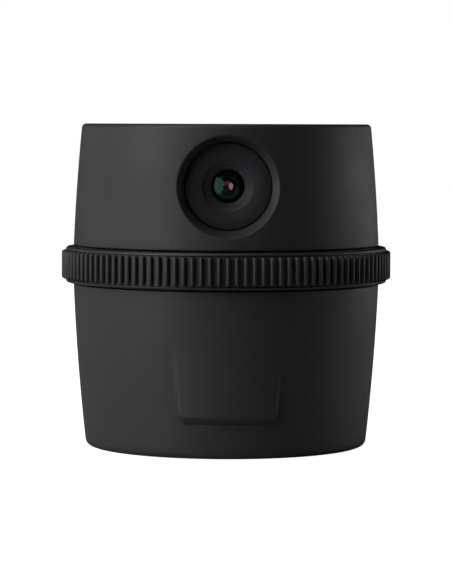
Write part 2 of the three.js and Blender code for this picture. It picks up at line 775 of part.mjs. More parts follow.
function baffle() {
  const outer = boreRadius - seat;
  const skirtInner = barrelRadius + seat;
  const drop = baffleDepth / baffleSteps;
  const inward = (maskHole - baffleHole) / baffleSteps;
  const stairs = Array.from({ length: baffleSteps }, (_, i) => [
    [maskHole - inward * (i + 1), baffleFace - drop * i],
    [maskHole - inward * (i + 1), baffleFace - drop * (i + 1)],
  ]).flat();
  return turned([
    ...stairs,
    [skirtInner, baffleBack],
    [skirtInner, skirtBack],
    [outer, skirtBack],
    [outer, baffleFace],
  ], lensFacets);
}

function lensBarrel() {
  const bore = barrelRadius - barrelWall;
  return turned([
    [bore, barrelBack],
    [barrelRadius, barrelBack],
    [barrelRadius, barrelFace],
    [barrelEye, barrelFace],
    [barrelEye, barrelFace - barrelLip],
    [bore, barrelFace - barrelLip],
  ], lensFacets);
}

// A disc of glass whose front and back swell, or sink where negative, toward the centre.
function element(face, { depth, front, back }) {
  const steps = 3;
  const rim = elementRadius;
  const low = face - depth + Math.max(back, 0);
  const high = face - Math.max(front, 0);
  const dome = (t) => 1 - t * t;
  return turned([
    ...spread(0, 1, steps, (t) => [rim * t, low - back * dome(t)]),
    ...spread(1, 0, steps, (t) => [rim * t, high + front * dome(t)]),
  ], lensFacets);
}

function lensHolder() {
  const outer = block(holderWidth, holderHeight, sensorBoardFace + seat, holderFace);
  const bore = disc(barrelRadius + seat, barrelBack - slip, holderFace + slip, lensFacets);
  const room = filterSide + 2 * slip;
  const well = block(room, room, sensorBoardFace - slip, barrelBack - seat);
  const holes = [-1, 1].map((way) => disc(
    holeRadius, sensorBoardFace - slip, holderFace - seat, smallFacets,
  ).translate(way * (holderWidth / 2 - screwHead + seat), way * (holderHeight / 2 - screwHead), 0));
  return carve(outer, [], [bore, well, ...holes]);
}

function sensorBoard() {
  const plate = block(sensorBoardWidth, sensorBoardHeight, sensorBoardBack, sensorBoardFace);
  const holes = [-1, 1].map((way) => disc(
    holeRadius, sensorBoardBack - slip, sensorBoardFace + slip, smallFacets,
  ).translate(way * (holderWidth / 2 - screwHead + seat), way * (holderHeight / 2 - screwHead), 0));
  return carve(plate, [], holes);
}

function addLens(head) {
  const lens = new THREE.Group();
  lens.rotation.x = Math.PI / 2;
  lens.position.z = lensAxis;
  head.add(lens);
  place(lens, 'window_glass', 'glass', disc(windowRadius, windowBack, windowFace, dishFacets));
  place(lens, 'window_mask', 'mask', hoop(maskHole, windowRadius, maskBack, windowBack - seat, dishFacets));
  place(lens, 'window_seal', 'rubber',
    hoop(windowRadius - sealWidth, windowRadius, sealBack, maskBack - seat, lensFacets));
  place(lens, 'lens_baffle', 'anodised', baffle());
  place(lens, 'lens_barrel', 'anodised', lensBarrel());
  place(lens, 'front_element', 'glass', element(frontFace, frontElement));
  place(lens, 'middle_element', 'glass', element(middleFace, middleElement));
  place(lens, 'aperture_stop', 'mask',
    hoop(stopHole, elementRadius, stopFace - stopThickness, stopFace, lensFacets));
  place(lens, 'rear_element', 'glass', element(rearFace, rearElement));
  place(lens, 'lens_retainer', 'anodised',
    hoop(retainerHole, elementRadius, retainerFace - retainerThickness, retainerFace, lensFacets));
  place(lens, 'lens_holder', 'darkPlastic', lensHolder());
  place(lens, 'ir_filter', 'glass',
    block(filterSide, filterSide, filterFace - filterThickness, filterFace));
  place(lens, 'image_sensor', 'chip',
    block(sensorSide, sensorSide, sensorFace - sensorThickness, sensorFace));
  place(lens, 'sensor_board', 'board', sensorBoard());
  [-1, 1].forEach((way, i) => {
    place(lens, `sensor_screw_${i + 1}`, 'steel', screw(), way * (holderWidth / 2 - screwHead + seat),
      way * (holderHeight / 2 - screwHead), sensorBoardBack - seat);
  });
  const socketFace = sensorBoardBack - seat;
  place(lens, 'ribbon_socket', 'acetal',
    block(ribbonWidth, socketHeight, socketFace - socketDepth, socketFace, ribbonSide, -ribbonDrop));
}

// ---- Boards, button and wiring in the head ----

function ribbonCable() {
  const from = socketDepth + 2 * seat - sensorBoardBack;
  const to = mainBoardBack - slip;
  const level = lensAxis - ribbonDrop;
  const run = 2; // straight out of each socket
  const route = new THREE.SplineCurve([
    v2(from, level), v2(from + run, level), v2((from + to) / 2, level - ribbonSag),
    v2(to - run, level), v2(to, level),
  ]);
  const middle = route.getPoints(10);
  const half = ribbonThickness / 2;
  const outline = new THREE.Shape([
    ...middle.map((p) => v2(p.x, p.y - half)), ...middle.reverse().map((p) => v2(p.x, p.y + half)),
  ]);
  const strip = new THREE.ExtrudeGeometry(outline, { depth: ribbonWidth, bevelEnabled: false, steps: 1 });
  const stand = new THREE.Matrix4().makeBasis(
    new THREE.Vector3(0, 1, 0), new THREE.Vector3(0, 0, 1), new THREE.Vector3(1, 0, 0),
  );
  return strip.applyMatrix4(stand).translate(ribbonSide - ribbonWidth / 2, 0, 0);
}

function harness() {
  const turn = frameTop + 3;
  return lead([
    [0, 0, spindleFoot + slip], [0, 0, (spindleFoot + turn) / 2], [0, 0, turn - 1.5],
    [0, 2.5, turn + 0.6], [0, mainBoardBack - slip, turn + 1],
  ], harnessRadius);
}

function powerButton() {
  const flange = buttonRadius + buttonFlange;
  const under = flangeTop - buttonFlangeThickness;
  return turned([
    [0, under], [flange, under], [flange, flangeTop], [buttonRadius, flangeTop],
    [buttonRadius, buttonTop - buttonDish], [buttonRadius - buttonDish, buttonTop],
    [buttonRadius - buttonRim, buttonTop], [0, buttonTop - buttonDish],
  ], lensFacets);
}

function addBoards(head) {
  const high = roofUnder - boardMargin;
  const low = frameTop + boardMargin;
  const narrow = headSide(headTop) - wall;
  const boardBack = mainBoardBack + boardThickness;
  const boardHalf = Math.sqrt(narrow ** 2 - boardBack ** 2) - 2 * boardMargin;
  place(head, 'main_board', 'board', block(2 * boardHalf, boardThickness, low, high, 0,
    mainBoardBack + boardThickness / 2));
  const canLow = lensAxis - canHeight / 2;
  place(head, 'processor_can', 'foil',
    block(canWidth, canDepth, canLow, canLow + canHeight, 0, boardBack + seat + canDepth / 2));
  place(head, 'antenna', 'flex', block(antennaWidth, antennaThickness, high - antennaHeight, high, 0,
    postCircle - postRadius - 2 * boardMargin));
  place(head, 'ribbon_cable', 'flex', ribbonCable());
  place(head, 'harness', 'rubber', harness());
  const boardRight = lampOffset + 2 * lampRadius;
  place(head, 'button_board', 'board', block(boardRight + buttonBoardHalf, buttonBoardDepth,
    buttonBoardTop - boardThickness, buttonBoardTop, (boardRight - buttonBoardHalf) / 2, 0));
  const body = block(switchSide, switchSide, buttonBoardTop + seat, switchTop);
  const well = disc(plungerRadius + seat, plungerFoot - buttonTravel - seat, switchTop + seat, smallFacets);
  place(head, 'tact_switch', 'darkPlastic', carve(body, [], [well]));
  place(head, 'lamp_chip', 'lamp', block(lampChipSide, lampChipSide, buttonBoardTop + seat,
    buttonBoardTop + seat + lampChip, lampOffset, 0));
  place(head, 'light_pipe', 'lamp',
    disc(lampRadius, buttonBoardTop + lampChip + 3 * seat, headTop - seat, smallFacets), lampOffset, 0, 0);
}

function addButton() {
  place(camera, 'power_button', 'darkPlastic', powerButton());
  place(camera, 'switch_plunger', 'acetal',
    disc(plungerRadius, plungerFoot, plungerTop, smallFacets));
}

const head = new THREE.Group();
camera.add(head);
addBase();
addCover();
addRing();
addHeadFrame(head);
addLens(head);
addBoards(head);
addButton();

export default camera;
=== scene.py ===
import math

import bmesh
import bpy
from mathutils import Matrix, Vector


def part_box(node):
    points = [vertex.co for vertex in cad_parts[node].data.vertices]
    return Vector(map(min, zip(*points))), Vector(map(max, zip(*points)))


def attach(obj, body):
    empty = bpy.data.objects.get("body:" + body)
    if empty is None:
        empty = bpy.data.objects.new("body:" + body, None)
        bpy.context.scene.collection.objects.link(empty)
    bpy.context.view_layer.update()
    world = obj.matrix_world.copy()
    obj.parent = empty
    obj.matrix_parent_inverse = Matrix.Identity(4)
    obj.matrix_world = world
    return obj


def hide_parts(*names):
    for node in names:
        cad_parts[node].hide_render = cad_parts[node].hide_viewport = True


# A small panning camera. Sizes are millimetres in the dictionaries and become metres in finishPiece.
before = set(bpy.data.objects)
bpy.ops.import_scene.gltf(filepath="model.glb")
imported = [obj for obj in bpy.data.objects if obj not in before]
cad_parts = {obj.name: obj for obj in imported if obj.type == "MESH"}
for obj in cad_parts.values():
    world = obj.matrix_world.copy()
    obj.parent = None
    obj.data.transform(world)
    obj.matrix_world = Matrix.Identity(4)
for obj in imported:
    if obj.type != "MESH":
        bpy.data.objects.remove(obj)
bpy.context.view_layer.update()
print("frame loaded")


def span(node):
    low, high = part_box(node)
    return low * 1000, high * 1000


# What the frame fixes
baseLow, baseHigh = span("base_shell")
headLow, headHigh = span("head_shell")
ringLow, ringHigh = span("lock_ring")
bandLow, bandHigh = span("grip_band")
glassLow, glassHigh = span("window_glass")
capLow, capHigh = span("top_cap")
lensAxis = (glassLow.z + glassHigh.z) / 2

# Both shells share these
shells = {
    "radius": headHigh.x,  # where they meet the ring
    "headTaper": 1.7,
    "headBulge": 0.17,
    "baseTaper": 2.5,
    "baseBulge": 0.3,
    "wall": 2.0,
    "step": 1.5,  # degrees between the edges round a shell
}


def sideRadius(foot, rim, bulge, share):
    return foot + (rim - foot) * share + 4 * bulge * share * (1 - share)


def headSide(z):
    share = (z - headLow.z) / (headHigh.z - headLow.z)
    return sideRadius(shells["radius"], shells["radius"] - shells["headTaper"], shells["headBulge"], share)


def baseSide(z):
    share = (z - baseLow.z) / (baseHigh.z - baseLow.z)
    return sideRadius(shells["radius"] - shells["baseTaper"], shells["radius"], shells["baseBulge"], share)


# Mesh helpers

weld = 0.0008  # vertices closer than this are one


def evenly(start, end, steps):
    return [start + (end - start) * i / steps for i in range(steps + 1)]


# Points are (radius, height) or (radius, height, corner round); the outline closes on itself.
def rounded(points, steps=4):
    outline = []
    for i, (x, z, *corner) in enumerate(points):
        here = Vector((x, z))
        if not corner:
            outline.append((x, z))
            continue
        back = (Vector(points[i - 1][:2]) - here).normalized()
        ahead = (Vector(points[(i + 1) % len(points)][:2]) - here).normalized()
        half = back.angle(ahead) / 2
        centre = here + (back + ahead).normalized() * corner[0] / math.sin(half)
        start = here + back * corner[0] / math.tan(half) - centre
        end = here + ahead * corner[0] / math.tan(half) - centre
        turn = (math.atan2(end.y, end.x) - math.atan2(start.y, start.x) + math.pi) % math.tau - math.pi
        for k in range(steps + 1):
            spot = centre + Matrix.Rotation(turn * k / steps, 2) @ start
            outline.append((spot.x, spot.y))
    return outline


# A plain ring's outline; its four corner rounds start at the inner low corner.
def ringLine(inner, outer, low, high, rounds, steps):
    corners = ((inner, low), (outer, low), (outer, high), (inner, high))
    return rounded([(*corner, soft) for corner, soft in zip(corners, rounds)], steps)


# A profile turned about Z; the turns are (degrees, steps) one after another. Each is spun as one short
# strip that is then repeated, because a long spin is slow.
def spun(points, turns=((360, 96),), closed=True, first=0.0):
    bm = bmesh.new()
    begin = first
    for degrees, steps in turns:
        repeats = max(n for n in range(1, int(math.sqrt(steps)) + 1) if steps % n == 0)
        place = Matrix.Rotation(math.radians(begin), 4, "Z")
        line = [bm.verts.new(place @ Vector((r, 0, z))) for r, z in points]
        edges = [bm.edges.new(pair) for pair in zip(line, line[1:])]
        if closed:
            edges.append(bm.edges.new((line[-1], line[0])))
        older = set(bm.faces)
        strip = math.radians(degrees / repeats)
        around = {"cent": (0, 0, 0), "axis": (0, 0, 1)}
        bmesh.ops.spin(bm, geom=line + edges, angle=strip, steps=steps // repeats, **around)
        faces = [face for face in bm.faces if face not in older]
        parts = {part for face in faces for part in (face, *face.edges, *face.verts)}
        if repeats > 1:
            bmesh.ops.spin(bm, geom=list(parts), angle=strip * (repeats - 1), steps=repeats - 1,
                           use_duplicate=True, **around)
        begin += degrees
    bmesh.ops.remove_doubles(bm, verts=bm.verts, dist=weld)
    bmesh.ops.recalc_face_normals(bm, faces=bm.faces)
    return bm


# Lens pieces are turned about Z, reach outward along it, and are then laid along the lens axis.
def alongLens(bm):
    bm.transform(Matrix.Translation((0, 0, lensAxis)) @ Matrix.Rotation(math.pi / 2, 4, "X"))
    return bm


# Takes out the faces of one wall inside a window of turn and height, and gives its edge loop.
def openWall(bm, centre, halfTurn, low, high, radiusAt, skin=0.5):
    before = {edge for edge in bm.edges if edge.is_boundary}
    gone = []
    for face in bm.faces:
        middle = face.calc_center_median()
        turn = abs((math.degrees(math.atan2(middle.y, middle.x)) - centre + 180) % 360 - 180)
        if turn < halfTurn and low < middle.z < high and abs(middle.xy.length - radiusAt(middle.z)) < skin:
            gone.append(face)
    bmesh.ops.delete(bm, geom=gone, context="FACES")
    return [edge for edge in bm.edges if edge.is_boundary and edge not in before]


# Extrudes a loop once and puts each new vertex where place(co) says.
def grow(bm, loop, place):
    made = bmesh.ops.extrude_edge_only(bm, edges=loop)["geom"]
    fresh = {part for part in made if isinstance(part, bmesh.types.BMVert)}
    for vert in fresh:
        vert.co = place(vert.co)
    return [part for part in made if isinstance(part, bmesh.types.BMEdge) and fresh.issuperset(part.verts)]


# Round a level axis through a wall, a spot is told by its reach from the axis and its turn about it.
def dial(co, axis):
    return math.hypot(co.x, co.z - axis), math.atan2(co.z - axis, co.x)


def dialSpot(reach, turn, axis, y=0.0):
    return Vector((reach * math.cos(turn), y, axis + reach * math.sin(turn)))


# The same spot on a shell's wall; facing is -1 at the front and 1 at the back.
def wallSpot(reach, turn, axis, side, facing, inset=0.0):
    spot = dialSpot(reach, turn, axis)
    spot.y = facing * math.sqrt((side(spot.z) - inset) ** 2 - spot.x ** 2)
    return spot


# Eases from one spot to another by way of the corner between them.
def eased(start, corner, end, share):
    return start.lerp(corner, share).lerp(corner.lerp(end, share), share)


# Extrudes a region of faces and lays the new ones at one depth.
def pushed(bm, faces, y):
    for part in bmesh.ops.extrude_face_region(bm, geom=faces)["geom"]:
        if isinstance(part, bmesh.types.BMVert):
            part.co.y = y


def cylinder(radius, low, high, x=0.0, y=0.0, sides=48):
    bm = bmesh.new()
    place = Matrix.Translation((x, y, (low + high) / 2))
    bmesh.ops.create_cone(bm, cap_ends=True, segments=sides, radius1=radius, radius2=radius,
                          depth=high - low, matrix=place)
    return bm


def slab(low, high, bevel=0.0, segments=2):
    bm = bmesh.new()
    size, middle = high - low, (low + high) / 2
    bmesh.ops.create_cube(bm, size=1, matrix=Matrix.Translation(middle) @ Matrix.Diagonal((*size, 1)))
    if bevel:
        bmesh.ops.bevel(bm, geom=bm.edges[:], offset=bevel, offset_type="OFFSET", affect="EDGES",
                        segments=segments, profile=0.5, material=-1)
    return bm


def asObject(name, bm, metres=True):
    if metres:
        bm.transform(Matrix.Scale(0.001, 4))
    mesh = bpy.data.meshes.new(name)
    bm.to_mesh(mesh)
    bm.free()
    made = bpy.data.objects.new(name, mesh)
    bpy.context.scene.collection.objects.link(made)
    return made


# Cuts a mesh with others and gives the result back as a bmesh, still in millimetres.
def carved(bm, cutters):
    body = asObject("work", bm, metres=False)
    helpers = [asObject("helper", cutter, metres=False) for cutter in cutters]
    for helper in helpers:
        step = body.modifiers.new("step", "BOOLEAN")
        step.object = helper
        step.operation = "DIFFERENCE"
        step.solver = "EXACT"
    bpy.context.view_layer.update()
    result = bmesh.new()
    result.from_object(body, bpy.context.evaluated_depsgraph_get())
    for spare in [body, *helpers]:
        bpy.data.objects.remove(spare)
    bmesh.ops.dissolve_degenerate(result, edges=result.edges, dist=0.0005)
    return result


def finishPiece(name, bm, body, material, slot, *nodes, sharp=32.0):
    made = asObject(name, bm)
    made.data.materials.append(material)
    for face in made.data.polygons:
        face.use_smooth = True
    made.data.set_sharp_from_angle(angle=math.radians(sharp))
    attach(made, body)
    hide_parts(*nodes)
    return made


# Finishes

def startFinish(name, colour, roughness, metallic=0.0):
    made = bpy.data.materials.new(name)
    made.use_nodes = True
    tree = made.node_tree
    shader = tree.nodes["Principled BSDF"]
    shader.inputs["Base Color"].default_value = (*colour, 1)
    shader.inputs["Roughness"].default_value = roughness
    shader.inputs["Metallic"].default_value = metallic
    return made, tree, shader


def node(tree, kind, **values):
    made = tree.nodes.new(kind)
    for name, value in values.items():
        if name in made.inputs:
            made.inputs[name].default_value = value
        else:
            setattr(made, name, value)
    return made


def noise(tree, size, detail=3.0, stretch=(1, 1, 1)):
    where = node(tree, "ShaderNodeTexCoord")
    fit = node(tree, "ShaderNodeMapping", Scale=stretch)
    made = node(tree, "ShaderNodeTexNoise", Scale=1000 / size, Detail=detail)
    tree.links.new(where.outputs["Object"], fit.inputs["Vector"])
    tree.links.new(fit.outputs["Vector"], made.inputs["Vector"])
    return made.outputs["Fac"]


def between(tree, source, low, high, start=0.3, end=0.7):
    made = node(tree, "ShaderNodeMapRange")
    for name, value in {"From Min": start, "From Max": end, "To Min": low, "To Max": high}.items():
        made.inputs[name].default_value = value
    tree.links.new(source, made.inputs["Value"])
    return made.outputs["Result"]


def blended(tree, share, one, two):
    made = node(tree, "ShaderNodeMix", data_type="RGBA")
    made.inputs[6].default_value = (*one, 1)
    made.inputs[7].default_value = (*two, 1)
    tree.links.new(share, made.inputs[0])
    return made.outputs[2]


def addBump(tree, shader, source, depth):
    made = node(tree, "ShaderNodeBump", Strength=1.0, Distance=depth / 1000)
    tree.links.new(source, made.inputs["Height"])
    tree.links.new(made.outputs["Normal"], shader.inputs["Normal"])


# Moulded surface: a fine grain over a slower drift in colour and gloss.
def moulded(name, dark, light, roughness, grainSize, grainDepth, specular=0.5):
    made, tree, shader = startFinish(name, light, roughness)
    shader.inputs["Specular IOR Level"].default_value = specular
    grain = noise(tree, grainSize, 2.0)
    drift = noise(tree, 14.0, 3.0)
    tree.links.new(blended(tree, between(tree, grain, 0, 1), dark, light), shader.inputs["Base Color"])
    tree.links.new(between(tree, drift, roughness - 0.04, roughness + 0.04), shader.inputs["Roughness"])
    addBump(tree, shader, grain, grainDepth)
    return made


def metal(name, dark, light, roughness, stretch=(1, 1, 12), size=0.9):
    made, tree, shader = startFinish(name, light, roughness, 1.0)
    lines = noise(tree, size, 3.0, stretch)
    stain = noise(tree, 3.5, 3.0)
    tree.links.new(blended(tree, between(tree, stain, 0, 1), dark, light), shader.inputs["Base Color"])
    tree.links.new(between(tree, lines, roughness - 0.07, roughness + 0.1), shader.inputs["Roughness"])
    addBump(tree, shader, lines, 0.004)
    return made


softTouch = moulded("softTouchBlack", (0.0155, 0.0155, 0.0158), (0.0190, 0.0190, 0.0193), 0.6, 0.16, 0.006)
# The base's copy of the soft-touch black is painted about a fifth lighter than the head's. The extra
# lightness is painted light for the brighter light that falls on the lower body.
baseTouchPaintedLight = moulded("softTouchBasePaintedLight", (0.0190, 0.0190, 0.0193), (0.0232, 0.0232, 0.0235), 0.6, 0.16, 0.006)
ringBlack = moulded("ringBlack", (0.016, 0.016, 0.0163), (0.020, 0.020, 0.0203), 0.52, 0.14, 0.006)
rubber = moulded("blackRubber", (0.016, 0.016, 0.0162), (0.022, 0.022, 0.0222), 0.52, 0.12, 0.010)
sparkPlastic = moulded("sparkErodedPlastic", (0.014, 0.014, 0.015), (0.022, 0.022, 0.023), 0.5, 0.22, 0.014)
greyAcetal = moulded("greyAcetal", (0.075, 0.075, 0.077), (0.095, 0.095, 0.097), 0.5, 0.3, 0.004)
acetal = moulded("whiteAcetal", (0.62, 0.60, 0.55), (0.74, 0.72, 0.67), 0.42, 0.3, 0.004)
anodised = moulded("blackAnodised", (0.010, 0.010, 0.011), (0.016, 0.015, 0.017), 0.38, 0.08, 0.002, 0.8)
# The baffle is black anodised like the barrel, but its colour is painted about four times lighter. This is a
# painted highlight standing in for the glints on its ridge crests.
baffleBlackPaintedHighlight = moulded("baffleBlackPaintedHighlight", (0.048, 0.045, 0.051), (0.060, 0.056, 0.063), 0.3, 0.05, 0.001, 0.5)
maskInk = moulded("printedMask", (0.0172, 0.0144, 0.0178), (0.0188, 0.0160, 0.0196), 0.55, 0.05, 0.0003)
steel = metal("brushedSteel", (0.48, 0.48, 0.49), (0.62, 0.62, 0.63), 0.34)
brass = metal("turnedBrass", (0.52, 0.38, 0.16), (0.70, 0.54, 0.26), 0.32)
shieldTin = metal("shieldTin", (0.50, 0.51, 0.52), (0.62, 0.63, 0.64), 0.38, (1, 1, 4), 1.6)


# Glass that is seen through, with the thin coloured shine of its coating on top.
def coated(name, tint, shine, edgeShine, roughness=0.02):
    made = bpy.data.materials.new(name)
    made.use_nodes = True
    tree = made.node_tree
    tree.nodes.remove(tree.nodes["Principled BSDF"])
    clear = node(tree, "ShaderNodeBsdfTransparent", Color=(0.97, 0.98, 0.98, 1))
    gloss = node(tree, "ShaderNodeBsdfGlossy", Color=(*tint, 1), Roughness=roughness)
    facing = node(tree, "ShaderNodeLayerWeight", Blend=0.25)
    smears = noise(tree, 5.0, 3.0)
    amount = between(tree, facing.outputs["Facing"], shine, edgeShine, 0.1, 1.0)
    handled = node(tree, "ShaderNodeMath", operation="MULTIPLY")
    tree.links.new(amount, handled.inputs[0])
    tree.links.new(between(tree, smears, 0.9, 1.1), handled.inputs[1])
    mix = node(tree, "ShaderNodeMixShader")
    tree.links.new(handled.outputs[0], mix.inputs[0])
    tree.links.new(clear.outputs[0], mix.inputs[1])
    tree.links.new(gloss.outputs[0], mix.inputs[2])
    tree.links.new(mix.outputs[0], tree.nodes["Material Output"].inputs["Surface"])
    return made


windowCoat = coated("windowCoating", (0.75, 0.68, 0.9), 0.006, 0.2)
clearCoat = coated("clearCoating", (0.6, 0.7, 0.8), 0.0004, 0.004)
greenCoat = coated("greenCoating", (0.36, 0.95, 0.62), 0.036, 0.06)
roseCoat = coated("roseCoating", (1.0, 0.30, 0.38), 0.30, 0.4)
tanCoat = coated("tanCoating", (1.0, 0.72, 0.5), 0.16, 0.2)
blueCoat = coated("blueCoating", (0.5, 0.75, 1.0), 0.01, 0.1)


# Green board: mask over copper lines, with tinned pads between them.
def circuitBoard():
    made, tree, shader = startFinish("circuitBoard", (0.02, 0.11, 0.05), 0.38)
    where = node(tree, "ShaderNodeTexCoord")
    lines = node(tree, "ShaderNodeTexBrick", Scale=900.0, offset=0.37)
    for name, value in {"Mortar Size": 0.06, "Brick Width": 1.7, "Row Height": 0.6}.items():
        lines.inputs[name].default_value = value
    pads = node(tree, "ShaderNodeTexVoronoi", Scale=620.0, distance="CHEBYCHEV", Randomness=0.55)
    for pattern in (lines, pads):
        tree.links.new(where.outputs["Object"], pattern.inputs["Vector"])
    copper = blended(tree, lines.outputs["Fac"], (0.012, 0.085, 0.035), (0.03, 0.17, 0.075))
    isPad = between(tree, pads.outputs["Distance"], 1.0, 0.0, 0.14, 0.17)
    tinned = node(tree, "ShaderNodeMix", data_type="RGBA")
    tinned.inputs[7].default_value = (0.55, 0.55, 0.52, 1)
    tree.links.new(isPad, tinned.inputs[0])
    tree.links.new(copper, tinned.inputs[6])
    tree.links.new(tinned.outputs[2], shader.inputs["Base Color"])
    tree.links.new(isPad, shader.inputs["Metallic"])
    addBump(tree, shader, lines.outputs["Fac"], 0.03)
    return made


# Ribbon and leads: amber film with copper tracks under it.
def flexFilm():
    made, tree, shader = startFinish("amberFlex", (0.45, 0.18, 0.03), 0.35)
    where = node(tree, "ShaderNodeTexCoord")
    tracks = node(tree, "ShaderNodeTexWave", Scale=420.0, bands_direction="X")
    tree.links.new(where.outputs["Object"], tracks.inputs["Vector"])
    share = between(tree, tracks.outputs["Fac"], 0, 1, 0.45, 0.55)
    tree.links.new(blended(tree, share, (0.34, 0.12, 0.02), (0.58, 0.26, 0.06)), shader.inputs["Base Color"])
    addBump(tree, shader, share, 0.02)
    return made


# Battery pouch: crinkled foil laminate.
def pouchFoil():
    made, tree, shader = startFinish("pouchFoil", (0.46, 0.47, 0.49), 0.35, 0.8)
    crinkle = noise(tree, 4.0, 5.0)
    tree.links.new(blended(tree, between(tree, crinkle, 0, 1), (0.36, 0.37, 0.39), (0.52, 0.53, 0.55)),
                   shader.inputs["Base Color"])
    addBump(tree, shader, crinkle, 0.18)
    return made


# Image sensor: near-black with the shimmer of its fine rows.
def sensorFace():
    made, tree, shader = startFinish("sensorFace", (0.03, 0.02, 0.035), 0.22, 0.6)
    rows = noise(tree, 0.5, 2.0, (1, 1, 6))
    tree.links.new(blended(tree, between(tree, rows, 0, 1), (0.025, 0.016, 0.03), (0.07, 0.035, 0.05)),
                   shader.inputs["Base Color"])
    return made


# Milky light guide and lamp
def lampPlastic():
    made, tree, shader = startFinish("milkyLamp", (0.74, 0.76, 0.76), 0.28)
    shader.inputs["Transmission Weight"].default_value = 0.25
    cloud = noise(tree, 0.8, 3.0)
    tree.links.new(blended(tree, between(tree, cloud, 0, 1), (0.68, 0.71, 0.72), (0.80, 0.82, 0.82)),
                   shader.inputs["Base Color"])
    addBump(tree, shader, cloud, 0.01)
    return made


boardGreen = circuitBoard()
flex = flexFilm()
pouch = pouchFoil()
chip = sensorFace()
lamp = lampPlastic()
print("finishes made")


# Head shell

headShell = {
    "roof": 3.0,
    "edgeRound": 0.9,
    "footRound": 0.3,
    "rows": 30,
    "capSeat": 0.15,  # gap round and under the top cap
    "buttonHole": 5.3,
    "pipeGap": 0.15,
    "roofStep": 22.6,  # the roof is thick inside this radius and cored out beyond it
    "stepSlope": 0.6,
    "coredRoof": 1.7,
    "openTurn": 22.5,  # half of the wall opened up for the lens, in degrees
    "openFoot": 1.15,  # above the rim
    "recess": 9.8,
    "recessRound": 0.22,
    "windowGap": 0.25,
    "ledge": 2.2,  # ledge behind the window's front face
    "bore": 7.45,
    "bossBack": 3.7,  # behind the window's front face
    "boss": 9.95,
    "bossMargin": 0.15,  # flat left round the boss inside
}


def makeHeadShell():
    s = headShell
    foot, top, wall = headLow.z, headHigh.z, shells["wall"]
    recessFloor = capLow.z - s["capSeat"]
    capHole = capHigh.x + s["capSeat"]
    openLow, openHigh = foot + s["openFoot"], top - s["edgeRound"]
    roofUnder, coreTop = top - s["roof"], top - s["coredRoof"]
    innerHigh = coreTop - 0.1
    points = [(headSide(foot) - wall, foot, 0.2), (headSide(foot), foot, s["footRound"])]
    points += [(headSide(z), z) for z in evenly(openLow, openHigh, s["rows"])]
    points += [
        (headSide(top), top, s["edgeRound"]), (capHole, top, 0.12), (capHole, recessFloor, 0.1),
        (s["buttonHole"], recessFloor, 0.12), (s["buttonHole"], roofUnder, 0.15),
        (s["roofStep"], roofUnder, 0.2), (s["roofStep"] + s["stepSlope"], coreTop, 0.2),
        (headSide(coreTop) - wall, coreTop),
    ]
    points += [(headSide(z) - wall, z) for z in evenly(innerHigh, openLow, s["rows"])]
    bm = spun(rounded(points, 6), ((360, int(360 / shells["step"])),))

    def outside(reach, turn, inset=0.0):
        return wallSpot(reach, turn, lensAxis, headSide, -1, inset)

    face = glassLow.y  # the window's front
    pocket = glassHigh.x + s["windowGap"]
    rim, soft = s["recess"], s["recessRound"]
    inner = openWall(bm, -90, s["openTurn"], openLow, innerHigh, lambda z: headSide(z) - wall)
    loop = openWall(bm, -90, s["openTurn"], openLow, openHigh, headSide)
    for share in (1 / 5, 1 / 4, 1 / 3, 1 / 2, 1):
        def nearer(co):
            reach, turn = dial(co, lensAxis)
            return outside(reach + (rim + soft - reach) * share, turn)
        loop = grow(bm, loop, nearer)
    for share in (0.25, 0.5, 0.75, 1.0):
        def overRim(co):
            turn = dial(co, lensAxis)[1]
            corner = outside(rim, turn)
            down = (dialSpot(pocket, turn, lensAxis, face) - corner).normalized()
            return eased(outside(rim + soft, turn), corner, corner + down * soft, share)
        loop = grow(bm, loop, overRim)
    for share in (0.5, 1):
        def downWall(co):
            return co.lerp(dialSpot(pocket, dial(co, lensAxis)[1], lensAxis, face), share)
        loop = grow(bm, loop, downWall)
    for reach, back in ((pocket, s["ledge"]), (s["bore"], s["ledge"]), (s["bore"], s["bossBack"]),
                        (s["boss"], s["bossBack"])):
        loop = grow(bm, loop, lambda co: dialSpot(reach, dial(co, lensAxis)[1], lensAxis, face + back))
    loop = grow(bm, loop, lambda co: outside(s["boss"], dial(co, lensAxis)[1], wall))
    for share in (1 / 2, 1):
        def inwards(co):
            reach, turn = dial(co, lensAxis)
            return outside(reach + (s["boss"] + s["bossMargin"] - reach) * share, turn, wall)
        inner = grow(bm, inner, inwards)
    bmesh.ops.bridge_loops(bm, edges=[*loop, *inner])
    bmesh.ops.recalc_face_normals(bm, faces=bm.faces)
    pipeLow, pipeHigh = span("light_pipe")
    hole = cylinder(pipeHigh.y + s["pipeGap"], roofUnder - 1, top + 1, (pipeLow.x + pipeHigh.x) / 2)
    finishPiece("headShell", carved(bm, [hole]), "head", softTouch, "soft_black", "head_shell", sharp=38)


makeHeadShell()
print("head shell made")


# Base shell

